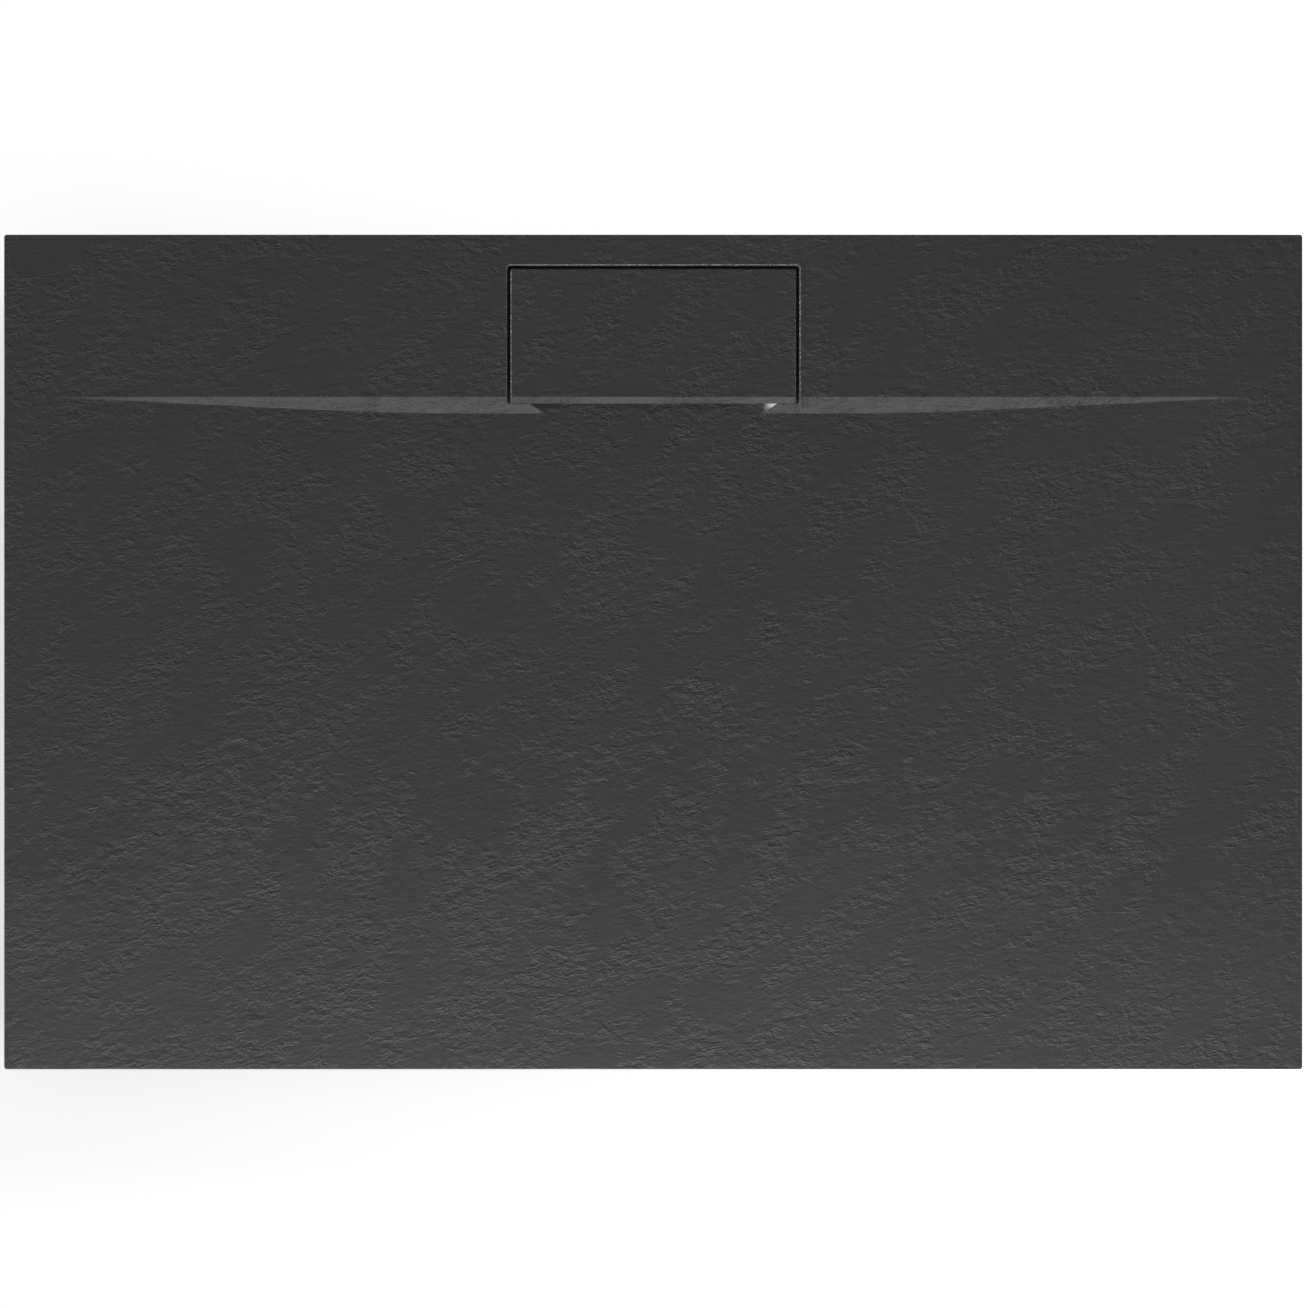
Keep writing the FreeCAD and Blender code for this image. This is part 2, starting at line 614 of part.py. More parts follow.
def make_insert():
    """The lift-out dip tube that makes the water seal, with a bar to pull it by."""
    body = new_body("trap_insert")
    inside = "(dim.dip_radius - dim.dip_wall)"
    mouth = f"({INSERT_PLUG} - dim.plug_wall)"
    lip = f"({TRAP_FLOOR} + dim.dip_gap)"
    funnel_high = f"({SHELF_TOP} - dim.plug_length)"
    funnel_low = f"({funnel_high} - dim.funnel_length)"
    collar_top = f"({SHELF_TOP} + dim.collar_thick)"
    groove = f"({RING_RADIUS} - dim.ring_section - dim.running_fit)"
    half_groove = "(dim.ring_section + dim.running_fit)"
    profile = sketch_on(body, "XZ_Plane")
    polygon(profile, [
        (inside, lip), ("dim.dip_radius", lip), ("dim.dip_radius", funnel_low),
        (INSERT_PLUG, funnel_high), (INSERT_PLUG, f"{RING_LEVEL} - {half_groove}"),
        (groove, f"{RING_LEVEL} - {half_groove}"), (groove, f"{RING_LEVEL} + {half_groove}"),
        (INSERT_PLUG, f"{RING_LEVEL} + {half_groove}"), (INSERT_PLUG, SHELF_TOP),
        ("dim.collar_radius", SHELF_TOP), ("dim.collar_radius", collar_top),
        (mouth, collar_top), (mouth, funnel_high), (inside, funnel_low),
    ])
    turned(body, profile)
    bar = sketch_on(body, z=f"{collar_top} - dim.grip_height")
    rectangle(bar, f"-{mouth} - 1", "-dim.grip_wall / 2", f"{mouth} + 1", "dim.grip_wall / 2")
    pad(body, bar, "dim.grip_height")
    place(body, y=WASTE_Y)
    return body


def make_insert_ring():
    ring = doc.addObject("Part::Torus", "insert_o_ring")
    ring.setExpression("Radius1", RING_RADIUS)
    ring.setExpression("Radius2", "dim.ring_section")
    place(ring, y=WASTE_Y, z=RING_LEVEL)
    return ring


def lay_along_outlet(body):
    """Turn a body's own Z axis along the outlet, from the waste's axis to the wall."""
    body.Placement = FreeCAD.Placement(
        FreeCAD.Vector(), FreeCAD.Rotation(FreeCAD.Vector(1, 0, 0), -90))
    place(body, y=WASTE_Y, z="dim.outlet_height")


def make_cone_seal():
    body = new_body("outlet_seal")
    profile = sketch_on(body, "XZ_Plane")
    polygon(profile, [
        (SOCKET_BORE, SPIGOT_END), (SPIGOT, SPIGOT_END),
        (SPIGOT, f"{SPIGOT_END} + dim.cone_length"),
        (f"{SOCKET_BORE} + 1", f"{SPIGOT_END} + dim.cone_length"),
    ])
    turned(body, profile)
    lay_along_outlet(body)
    return body


def make_outlet_nut():
    """The hand nut that squeezes the seal on the waste pipe."""
    body = new_body("outlet_nut")
    end = f"({SPIGOT_END} + dim.cone_length + dim.nut_lip)"
    thread = f"({SPIGOT} + dim.running_fit)"
    profile = sketch_on(body, "XZ_Plane")
    polygon(profile, [
        (thread, f"{end} - dim.nut_length"), ("dim.nut_radius", f"{end} - dim.nut_length"),
        ("dim.nut_radius", f"{end} - dim.nut_lip"), (f"{thread} + 1", end),
        (f"{SOCKET_BORE} + dim.hand_fit", end),
        (f"{SOCKET_BORE} + dim.hand_fit", f"{end} - dim.nut_lip"),
        (thread, f"{end} - dim.nut_lip"),
    ])
    turned(body, profile)
    flute = sketch_on(body, z=end)
    circle(flute, "dim.nut_flute", "dim.nut_radius + dim.nut_flute / 2")
    polar(body, pocket(body, flute, "dim.nut_length"), "dim.nut_flutes")
    lay_along_outlet(body)
    return body


# ---------------------------------------------------------------- levelling feet
SPANNER_CORNER = "(dim.spanner_flats / sqrt(3))"


def mill_flats(body, high, length):
    """Cut six spanner flats on a turned collar, from its top face down."""
    outside = sketch_on(body, z=high)
    circle(outside, f"{SPANNER_CORNER} + 1")
    polygon(outside, [
        (f"{SPANNER_CORNER} * cos({60 * i})", f"{SPANNER_CORNER} * sin({60 * i})")
        for i in range(6)
    ])
    return pocket(body, outside, length)


def make_socket(label, x, y):
    """A flanged threaded hub with three fins, screwed up against a boss of the slab."""
    body = new_body(label)
    low = "(dim.stand_height - dim.socket_drop)"
    plate = "(dim.stand_height - dim.socket_plate)"
    bore = "(dim.thread_radius + dim.running_fit)"
    profile = sketch_on(body, "XZ_Plane")
    polygon(profile, [
        (bore, low), ("dim.socket_hub - 1", low), ("dim.socket_hub", f"{low} + 1"),
        ("dim.socket_hub", f"{plate} - 3"), ("dim.socket_hub + 3", plate),
        ("dim.socket_radius - 1", plate), ("dim.socket_radius", f"{plate} + 1"),
        ("dim.socket_radius", "dim.stand_height"), (bore, "dim.stand_height"),
    ])
    turned(body, profile)
    fin = sketch_on(body, "YZ_Plane")
    polygon(fin, [
        ("dim.socket_hub - 1", f"{low} + 3"), ("dim.socket_hub", f"{low} + 3"),
        ("dim.socket_radius - 3", f"{plate}"), ("dim.socket_radius - 3", f"{plate} + 1"),
        ("dim.socket_hub - 1", f"{plate} + 1"),
    ])
    polar(body, pad(body, fin, "dim.fin_wall", Midplane=True), 3)
    holes = sketch_on(body, z="dim.stand_height")
    for dx, dy in screw_offsets():
        circle(holes, "dim.screw_radius + dim.loose_fit", dx, dy)
    pocket(body, holes, "dim.socket_plate + 1")
    place(body, x=x, y=y)
    return body


def make_spindle(label, x, y):
    """A threaded shank with a spanner collar and a ball that turns in the pad."""
    body = new_body(label)
    ball = body.newObject("PartDesign::AdditiveSphere", f"{body.Name}_ball")
    ball.setExpression("Radius", "dim.ball_radius")
    ball.setExpression("Placement.Base.z", "dim.ball_height")
    tip = "(dim.stand_height + dim.spindle_depth)"
    chamfer = f"({SPANNER_CORNER} - 1.5)"
    profile = sketch_on(body, "XZ_Plane")
    polygon(profile, [
        ("0", "dim.ball_height"), ("dim.thread_neck", "dim.ball_height"),
        ("dim.thread_neck", "dim.collar_low"), (chamfer, "dim.collar_low"),
        (SPANNER_CORNER, "dim.collar_low + 1"), (SPANNER_CORNER, "dim.collar_high - 1"),
        (chamfer, "dim.collar_high"), ("dim.thread_radius", "dim.collar_high"),
        ("dim.thread_radius", f"{tip} - 1"), ("dim.thread_radius - 1", tip), ("0", tip),
    ])
    turned(body, profile)
    mill_flats(body, "dim.collar_high", "dim.collar_high - dim.collar_low")
    place(body, x=x, y=y)
    return body


def make_lock_nut(label, x, y):
    """A nut run up the spindle against the underside of its socket."""
    body = new_body(label)
    high = "(dim.stand_height - dim.socket_drop)"
    low = f"({high} - dim.lock_nut_height)"
    bore = "(dim.thread_radius + dim.running_fit)"
    chamfer = f"({SPANNER_CORNER} - 1.5)"
    profile = sketch_on(body, "XZ_Plane")
    polygon(profile, [
        (bore, low), (chamfer, low), (SPANNER_CORNER, f"{low} + 1"),
        (SPANNER_CORNER, f"{high} - 1"), (chamfer, high), (bore, high),
    ])
    turned(body, profile)
    mill_flats(body, high, "dim.lock_nut_height")
    place(body, x=x, y=y)
    return body


def make_pad(label, x, y):
    """A moulded foot with a cup that holds the spindle's ball."""
    body = new_body(label)
    profile = sketch_on(body, "XZ_Plane")
    polygon(profile, [
        ("0", "0"), ("dim.pad_radius - 1", "0"), ("dim.pad_radius", "1"),
        ("dim.pad_radius", "dim.pad_rim"), ("dim.hub_radius", "dim.pad_height / 2 + 1"),
        ("dim.hub_radius", "dim.pad_height - 1"), ("dim.hub_radius - 1", "dim.pad_height"),
        ("0", "dim.pad_height"),
    ])
    turned(body, profile)
    cup = body.newObject("PartDesign::SubtractiveSphere", f"{body.Name}_cup")
    cup.setExpression("Radius", "dim.ball_radius + dim.ball_ease")
    cup.setExpression("Placement.Base.z", "dim.ball_height")
    place(body, x=x, y=y)
    return body


def make_socket_screws():
    """Three pan-head screws through each socket's plate into the slab."""
    body = new_body("socket_screws")
    heads = sketch_on(body, z="dim.stand_height - dim.socket_plate")
    shanks = sketch_on(body, z="dim.stand_height - dim.socket_plate")
    for x, y in FEET.values():
        for dx, dy in screw_offsets():
            circle(heads, "dim.screw_head", f"{x} + {dx}", f"{y} + {dy}")
            circle(shanks, "dim.screw_radius", f"{x} + {dx}", f"{y} + {dy}")
    pad(body, heads, "dim.screw_head_height", Reversed=True)
    pad(body, shanks, "dim.socket_plate + dim.screw_bite")
    return body


# ---------------------------------------------------------------- the whole assembly
pieces = [
    make_tray(), make_cover(), make_bumpers(),
    make_flange(), make_clamp_screws(), make_strainer(),
    disc_ring("flange_seal", "dim.flange_radius - 1", "dim.waste_radius + 1",
              SEAL_UNDER, "dim.seal_thick"),
    disc_ring("body_seal", "dim.body_flange_radius - 1", "dim.waste_radius + 1",
              TRAP_TOP, "dim.body_seal_thick"),
    make_trap_body(), make_trap_base(),
    disc_ring("trap_weir", "dim.weir_radius", "dim.weir_radius - dim.weir_wall",
              TRAP_FLOOR, "dim.weir_height"),
    make_insert(), make_insert_ring(), make_cone_seal(), make_outlet_nut(),
    make_socket_screws(),
]
for spot, (x, y) in FEET.items():
    pieces += [
        make_socket(f"foot_socket_{spot}", x, y),
        make_lock_nut(f"lock_nut_{spot}", x, y),
        make_spindle(f"foot_spindle_{spot}", x, y),
        make_pad(f"foot_pad_{spot}", x, y),
    ]
doc.recompute()

broken = [item.Name for item in doc.Objects if {"Invalid", "Error"} & set(item.State)]
if broken:
    raise RuntimeError(f"features that failed: {broken}")
for piece in pieces:
    if piece.Shape.isNull() or not piece.Shape.isValid():
        raise RuntimeError(f"{piece.Label} has no valid shape")

os.makedirs("parts", exist_ok=True)
for piece in pieces:
    piece.Shape.exportStep(f"parts/{piece.Label}.step")
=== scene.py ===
import math

import bmesh
import bpy
import numpy as np
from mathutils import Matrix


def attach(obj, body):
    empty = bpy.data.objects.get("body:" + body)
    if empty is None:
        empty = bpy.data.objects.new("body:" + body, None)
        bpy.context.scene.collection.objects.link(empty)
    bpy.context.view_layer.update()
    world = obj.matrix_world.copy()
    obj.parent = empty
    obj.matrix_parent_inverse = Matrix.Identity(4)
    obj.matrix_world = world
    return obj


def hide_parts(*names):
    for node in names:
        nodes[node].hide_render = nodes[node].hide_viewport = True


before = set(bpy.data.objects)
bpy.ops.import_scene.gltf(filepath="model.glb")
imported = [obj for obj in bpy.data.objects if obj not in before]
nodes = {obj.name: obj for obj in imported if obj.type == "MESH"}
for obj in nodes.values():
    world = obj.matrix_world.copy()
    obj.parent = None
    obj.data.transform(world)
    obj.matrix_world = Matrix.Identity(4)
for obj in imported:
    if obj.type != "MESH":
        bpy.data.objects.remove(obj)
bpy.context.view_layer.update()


# ============================================================ slate-effect slab
# The slab is a mineral composite poured on a mould taken from split slate, with an
# anthracite gel coat on everything that shows. Underneath it is bare, pale and ribbed.
def add(tree, kind, *sources, **settings):
    """A node of that kind. Each source feeds the input in its place: a socket, a value or None."""
    made = tree.nodes.new(kind)
    for name, value in settings.items():
        setattr(made, name, value)
    for i, source in enumerate(sources):
        if isinstance(source, bpy.types.NodeSocket):
            tree.links.new(source, made.inputs[i])
        elif source is not None:
            made.inputs[i].default_value = source
    return made


def maths(tree, operation, *sources):
    """The value of one Math node."""
    return add(tree, "ShaderNodeMath", *sources, operation=operation).outputs[0]


def spread(tree, value, low, high, to_low=0.0, to_high=1.0):
    """A value carried smoothly from one range to another and held at its ends."""
    return add(tree, "ShaderNodeMapRange", value, low, high, to_low, to_high,
               interpolation_type="SMOOTHSTEP").outputs[0]


def grain(tree, place, scale, detail=2.0, rough=0.5, distortion=0.0):
    """The value of a noise texture at a place."""
    made = tree.nodes.new("ShaderNodeTexNoise")
    tree.links.new(place, made.inputs["Vector"])
    for name, value in (("Scale", scale), ("Detail", detail), ("Roughness", rough),
                        ("Distortion", distortion)):
        made.inputs[name].default_value = value
    return made.outputs[0]


def laid(tree, place, turn, stretch, shift=(0, 0, 0)):
    """A place turned about Z by some degrees and then stretched along X, Y and Z."""
    turned = add(tree, "ShaderNodeMapping", place, shift, (0, 0, math.radians(turn)), (1, 1, 1))
    return add(tree, "ShaderNodeMapping", turned.outputs[0], (0, 0, 0), (0, 0, 0),
               stretch).outputs[0]


def effect(name, inputs, outputs):
    """An empty shader group with float, colour and vector sockets, its input and output node."""
    tree = bpy.data.node_groups.new(name, "ShaderNodeTree")
    kinds = {"float": "NodeSocketFloat", "vector": "NodeSocketVector", "color": "NodeSocketColor"}
    for side, sockets in (("INPUT", inputs), ("OUTPUT", outputs)):
        for label, kind in sockets:
            tree.interface.new_socket(label, in_out=side, socket_type=kinds[kind])
    return tree, tree.nodes.new("NodeGroupInput"), tree.nodes.new("NodeGroupOutput")


def slate_cleft():
    """Split slate: ragged terraces and short ridges gathered in slanting bands, fine creases
    that run with the bands, and a close grain over all of it.

    height = swell + band mask x (terraced stretched noise + broken ridges) - creases + grain
    """
    tree, given, gives = effect(
        "slate cleft", [("Place", "vector")],
        [("Height", "float"), ("Band", "float"), ("Cloud", "float")])
    place = given.outputs["Place"]

    swell = grain(tree, laid(tree, place, -25, (5, 9, 5)), 1.0, 2.0)
    bands = grain(tree, laid(tree, place, -33, (15, 27, 15)), 1.0, 3.0, 0.7, 0.3)
    band = spread(tree, bands, 0.38, 0.66, 0.2, 1.0)

    flakes = grain(tree, laid(tree, place, -12, (74, 122, 122)), 1.0, 2.0, 0.62, 0.2)
    steps = maths(tree, "MULTIPLY", flakes, 7.0)
    whole = maths(tree, "FLOOR", steps)
    part = spread(tree, maths(tree, "SUBTRACT", steps, whole), 0.4, 1.0)
    stepped = maths(tree, "DIVIDE", maths(tree, "ADD", whole, part), 7.0)
    terraces = maths(tree, "SUBTRACT", stepped, 0.5)

    winding = grain(tree, laid(tree, place, -16, (64, 122, 122)), 1.0, 1.0, 0.5, 0.2)
    off = maths(tree, "ABSOLUTE", maths(tree, "SUBTRACT", winding, 0.5))
    broken = spread(tree, grain(tree, laid(tree, place, 20, (60, 44, 60)), 1.0, 1.0), 0.42, 0.55)
    ridges = maths(tree, "MULTIPLY", spread(tree, off, 0.0, 0.09, 1.0, 0.0), broken)

    veins = grain(tree, laid(tree, place, -34, (9, 60, 9)), 1.0, 2.0, 0.5, 0.4)
    near = maths(tree, "ABSOLUTE", maths(tree, "SUBTRACT", veins, 0.5))
    where = spread(tree, grain(tree, laid(tree, place, -36, (14, 22, 14)), 1.0, 1.0), 0.55, 0.62)
    crease = maths(tree, "MULTIPLY", spread(tree, near, 0.0, 0.018, 1.0, 0.0), where)

    fine = grain(tree, laid(tree, place, 0, (190, 330, 190)), 1.0, 2.0, 0.6)

    relief = maths(tree, "ADD", maths(tree, "MULTIPLY", terraces, 3.8),
                   maths(tree, "MULTIPLY", ridges, 0.5))
    height = maths(tree, "ADD", maths(tree, "MULTIPLY", swell, 0.9),
                   maths(tree, "MULTIPLY", band, relief))
    height = maths(tree, "SUBTRACT", height, maths(tree, "MULTIPLY", crease, 0.16))
    height = maths(tree, "ADD", height, maths(tree, "MULTIPLY", fine, 0.34))
    tree.links.new(height, gives.inputs["Height"])
    tree.links.new(band, gives.inputs["Band"])
    tree.links.new(swell, gives.inputs["Cloud"])
    return tree


def blank_material(name):
    """A new material, its node tree, its Principled shader and its texture coordinates."""
    made = bpy.data.materials.new(name)
    made.use_nodes = True
    tree = made.node_tree
    return made, tree, tree.nodes["Principled BSDF"], tree.nodes.new("ShaderNodeTexCoord")


def mixed(tree, mask, first, second):
    """A colour that goes from the first to the second as the mask goes from 0 to 1."""
    made = tree.nodes.new("ShaderNodeMix")
    made.data_type = "RGBA"
    for socket, source in ((made.inputs[0], mask), (made.inputs[6], first),
                           (made.inputs[7], second)):
        if isinstance(source, bpy.types.NodeSocket):
            tree.links.new(source, socket)
        else:
            socket.default_value = source
    return made.outputs[2]


def between(tree, mask, first, second):
    """A value that goes from the first to the second as the mask goes from 0 to 1."""
    step = maths(tree, "MULTIPLY", maths(tree, "SUBTRACT", second, first), mask)
    return maths(tree, "ADD", step, first)


def grey(tone, warmth=0.0):
    """A linear grey, a little warm or cool."""
    return (tone * (1 + warmth), tone, tone * (1 - warmth), 1)


def roughened(tree, shader, height):
    """Relief, with its height in metres, on the shader's normal."""
    bump = tree.nodes.new("ShaderNodeBump")
    bump.inputs["Strength"].default_value = 1.0
    bump.inputs["Distance"].default_value = 1.0
    tree.links.new(height, bump.inputs["Height"])
    tree.links.new(bump.outputs[0], shader.inputs["Normal"])


def dress(piece, material):
    """The whole piece takes one material."""
    piece.data.materials.clear()
    piece.data.materials.append(material)


def cast_back():
    """The bare back of a casting: fine sand, a few burst air bubbles and slow cloudy flow.

    height = sand noise - bubble dents, tone = cloudy noise, darker in the bubble dents as painted
    shade
    """
    tree, given, gives = effect("cast back", [("Place", "vector")],
                                [("Height", "float"), ("Tone", "float")])
    place = given.outputs["Place"]
    sand = grain(tree, place, 700.0, 3.0, 0.6)
    cloud = grain(tree, place, 14.0, 4.0, 0.6, 1.5)
    cells = tree.nodes.new("ShaderNodeTexVoronoi")
    tree.links.new(place, cells.inputs["Vector"])
    cells.inputs["Scale"].default_value = 130.0
    chosen = spread(tree, grain(tree, place, 45.0, 1.0), 0.56, 0.62)
    bubbles = maths(tree, "MULTIPLY", chosen,
                    spread(tree, cells.outputs["Distance"], 0.08, 0.2, 1.0, 0.0))
    tree.links.new(maths(tree, "SUBTRACT", sand, maths(tree, "MULTIPLY", bubbles, 4.0)),
                   gives.inputs["Height"])
    # Painted shade: the tone is darker inside the bubble dents.
    tree.links.new(maths(tree, "SUBTRACT", cloud, maths(tree, "MULTIPLY", bubbles, 0.5)),
                   gives.inputs["Tone"])
    return tree


cleft = slate_cleft()
back = cast_back()


def within(tree, value, middle, half):
    """1 where a value is nearer to a middle than a half width, else 0."""
    off = maths(tree, "ABSOLUTE", maths(tree, "SUBTRACT", value, middle))
    return maths(tree, "LESS_THAN", off, half)


def all_of(tree, *masks):
    """1 where every mask is 1: their product."""
    whole = masks[0]
    for mask in masks[1:]:
        whole = maths(tree, "MULTIPLY", whole, mask)
    return whole


def slate(name, shift, bare_below, bare_area, channel, ledge):
    """Gel coat over the cleft, its pattern moved so that no two pieces share one, in metres.

    An area is its middle and half sizes (x, y, half x, half y). The casting is bare on faces
    that don't look up, below a height and inside an area, but for the channel and the rebate's
    walls above its ledge. Bevelled edges are painted pale and glossier, a painted highlight,
    and the groove round the cover is painted near black, a painted shade. The mouth of the
    channel has a painted highlight on its right end and painted shade on its left one.
    """
    rebate = (0.0, 0.345, 0.16, 0.075)
    hole_top, ledge_top, shelf_front, front_edge = 0.0705, 0.0975, 0.3, -0.44
    mouth_x, mouth_half_x, mouth_y, mouth_half_y = 0.126, 0.014, 0.263, 0.0075
    steepest_top, flattest_edge = 0.3, 0.95

    made, tree, shader, coordinates = blank_material(name)
    place = coordinates.outputs["Object"]
    moved = add(tree, "ShaderNodeMapping", place, shift).outputs[0]
    surface = add(tree, "ShaderNodeGroup", node_tree=cleft)
    tree.links.new(moved, surface.inputs["Place"])
    under = add(tree, "ShaderNodeGroup", node_tree=back)
    tree.links.new(place, under.inputs["Place"])
    x, y, z = add(tree, "ShaderNodeSeparateXYZ", place).outputs
    facing = add(tree, "ShaderNodeSeparateXYZ", coordinates.outputs["Normal"])
    sideways, upright = facing.outputs[0], facing.outputs[2]

    def inside(area):
        return all_of(tree, within(tree, x, area[0], area[2]), within(tree, y, area[1], area[3]))

    wall = maths(tree, "LESS_THAN", upright, steepest_top)
    in_rebate = inside(rebate)
    coated = maths(tree, "MAXIMUM",
                   all_of(tree, inside(channel), maths(tree, "GREATER_THAN", z, hole_top)),
                   all_of(tree, in_rebate, maths(tree, "GREATER_THAN", z, ledge)))
    bare = all_of(tree, wall, maths(tree, "LESS_THAN", z, bare_below), inside(bare_area),
                  maths(tree, "SUBTRACT", 1.0, coated))

    # Painted highlight: bevelled edges that lean up are painted pale and made glossier.
    tilted = all_of(tree, maths(tree, "GREATER_THAN", upright, steepest_top),
                    maths(tree, "LESS_THAN", upright, flattest_edge))
    leaning = maths(tree, "GREATER_THAN", maths(tree, "ABSOLUTE", sideways), 0.4)
    by_edge = maths(tree, "MAXIMUM", maths(tree, "GREATER_THAN", y, shelf_front), leaning)
    by_edge = maths(tree, "MAXIMUM", by_edge, maths(tree, "LESS_THAN", y, front_edge))
    arris_highlight = all_of(tree, tilted, by_edge)
    # Painted highlight and painted shade: the mouth's end wall that faces left is painted pale and
    # glossy, the one that faces right near black.
    at_mouth = all_of(tree, within(tree, y, mouth_y, mouth_half_y),
                      within(tree, maths(tree, "ABSOLUTE", x), mouth_x, mouth_half_x))
    painted_highlight_end = all_of(tree, at_mouth, spread(tree, sideways, -0.24, -0.46))
    painted_shade_end = all_of(tree, at_mouth, spread(tree, sideways, 0.15, 0.5))
    # Painted shade: the walls and ledge of the groove round the cover are painted near black and
    # matt.
    groove_painted_shade = all_of(tree, in_rebate, maths(
        tree, "MAXIMUM", wall, maths(tree, "LESS_THAN", z, ledge_top)))

    coat = mixed(tree, surface.outputs["Cloud"], grey(0.026, -0.01), grey(0.034, -0.01))
    rough = between(tree, surface.outputs["Band"], 0.52, 0.62)
    # Each mask lays a painted tone over the coat: painted highlights on the edges and one mouth
    # end, painted shade on the other mouth end and in the groove.
    for mask, tone, gloss in ((arris_highlight, 0.085, 0.35), (painted_highlight_end, 0.62, 0.22),
                              (painted_shade_end, 0.006, 0.8), (groove_painted_shade, 0.008, 0.8)):
        coat = mixed(tree, mask, coat, grey(tone, -0.01))
        rough = between(tree, mask, rough, gloss)
    casting = mixed(tree, under.outputs["Tone"], grey(0.33, 0.05), grey(0.5, 0.04))
    tree.links.new(mixed(tree, bare, coat, casting), shader.inputs["Base Color"])
    tree.links.new(between(tree, bare, rough, 0.9), shader.inputs["Roughness"])

    upward = spread(tree, upright, steepest_top, 0.7)
    cleft_depth = maths(tree, "MULTIPLY", between(tree, upward, 0.45, 1.0), 0.0009)
    cleft_depth = between(tree, painted_highlight_end, cleft_depth, 0.0001)
    cast_depth = 0.00012
    roughened(tree, shader, between(
        tree, bare, maths(tree, "MULTIPLY", surface.outputs["Height"], cleft_depth),
        maths(tree, "MULTIPLY", under.outputs["Height"], cast_depth)))
    return made


def wander(x, y, long_way, short_way, turn, seed):
    """Smooth noise from 0 to 1 on cells of the given size in millimetres, turned by degrees.

    Random values at the corners of the cells, mixed across each by 3 f^2 - 2 f^3.
    """
    slant = math.radians(turn)
    u = (x * math.cos(slant) + y * math.sin(slant)) / long_way
    v = (y * math.cos(slant) - x * math.sin(slant)) / short_way
    i, j = np.floor(u).astype(int), np.floor(v).astype(int)
    f, g = u - i, v - j
    f, g = f * f * (3 - 2 * f), g * g * (3 - 2 * g)
    corners = np.random.default_rng(seed).random((128, 128))
    near = corners[i % 128, j % 128] * (1 - f) + corners[(i + 1) % 128, j % 128] * f
    far = corners[i % 128, (j + 1) % 128] * (1 - f) + corners[(i + 1) % 128, (j + 1) % 128] * f
    return near * (1 - g) + far * g


def split_relief(x, y, seed):
    """How far split slate lies below its highest leaf, in millimetres, 0.05 to about 0.75.

    Slow swell + leaves (noise cut into four steps with soft edges) where a band mask is high.
    """
    steps, highest, swell_depth, leaf_depth = 4, 0.05, 0.3, 0.4
    swell = wander(x, y, 130, 60, 28, seed)
    band = np.clip(wander(x, y, 85, 34, 32, seed + 1) * 2.4 - 0.7, 0.1, 1)
    broad = wander(x, y, 34, 15, 16, seed + 2)
    small = wander(x, y, 15, 8, 10, seed + 3)
    leaf = steps * (0.65 * broad + 0.35 * small)
    step = np.floor(leaf)
    leaf = (step + np.clip((leaf - step) * 2.2 - 1.2, 0, 1)) / steps
    return highest + swell_depth * swell + leaf_depth * band * leaf


def slab_top(x, y):
    """The height of the slab's smooth upper face in millimetres.

    Level all round. The floor falls evenly from the front land to the foot of the riser, to a
    depth that is full in the middle, eases off by an arc and runs straight to nothing at the
    side lands. Behind it a 45 degree riser climbs to the shelf, which starts at the crease.
    """
    level, crease, front_land, side_land = 105, 275, -438, 653
    full, arc_start, arc_end, arc_radius = 17.5, 185, 385, 4206
    off = np.abs(x)
    arc = full - (off - arc_start) ** 2 / (2 * arc_radius)
    straight = full * (side_land - off) / (side_land - (arc_start + arc_end) / 2)
    deep = np.where(off < arc_start, full, np.where(off < arc_end, arc, straight))
    deep = np.clip(deep, 0, None)
    fall = deep * (y - front_land) / (crease - deep - front_land)
    floor_height = level - np.clip(fall, 0, None)
    riser_height = level - (crease - y)
    return np.where(y > crease, level,
                    np.minimum(level, np.maximum(floor_height, riser_height)))


def rim_distance(x, y, half, front, back, corner):
    """Distance outside (+) or inside (-) a rectangle with rounded corners, in millimetres."""
    middle, reach = (front + back) / 2, (back - front) / 2
    side_x, side_y = np.abs(x) - (half - corner), np.abs(y - middle) - (reach - corner)
    outside = np.hypot(np.clip(side_x, 0, None), np.clip(side_y, 0, None))
    return outside + np.minimum(np.maximum(side_x, side_y), 0) - corner


def under_face(name, x_lines, y_lines, top, bottom):
    """A closed block in metres under a height on a grid of x and y lines, all in millimetres."""
    columns, rows = len(x_lines), len(y_lines)
    x, y = np.meshgrid(x_lines, y_lines)
    upper = np.stack([x, y, top], axis=-1).reshape(-1, 3)
    lower = np.stack([x, y, 0 * x + bottom], axis=-1).reshape(-1, 3)
    row, column = np.meshgrid(np.arange(rows - 1), np.arange(columns - 1), indexing="ij")
    first = (row * columns + column).ravel()
    faces = np.stack([first, first + 1, first + columns + 1, first + columns], axis=-1)
    edge = np.concatenate([np.arange(columns), np.arange(1, rows) * columns + columns - 1,
                           rows * columns - 2 - np.arange(columns - 1),
                           (rows - 2 - np.arange(rows - 2)) * columns])
    after = np.roll(edge, -1)
    count = rows * columns
    walls = np.stack([edge + count, after + count, after, edge], axis=-1)
    faces = np.concatenate([faces, faces[:, ::-1] + count, walls])
    mesh = bpy.data.meshes.new(name)
    mesh.from_pydata((np.concatenate([upper, lower]) / 1000).tolist(), [], faces.tolist())
    return bpy.data.objects.new(name, mesh)


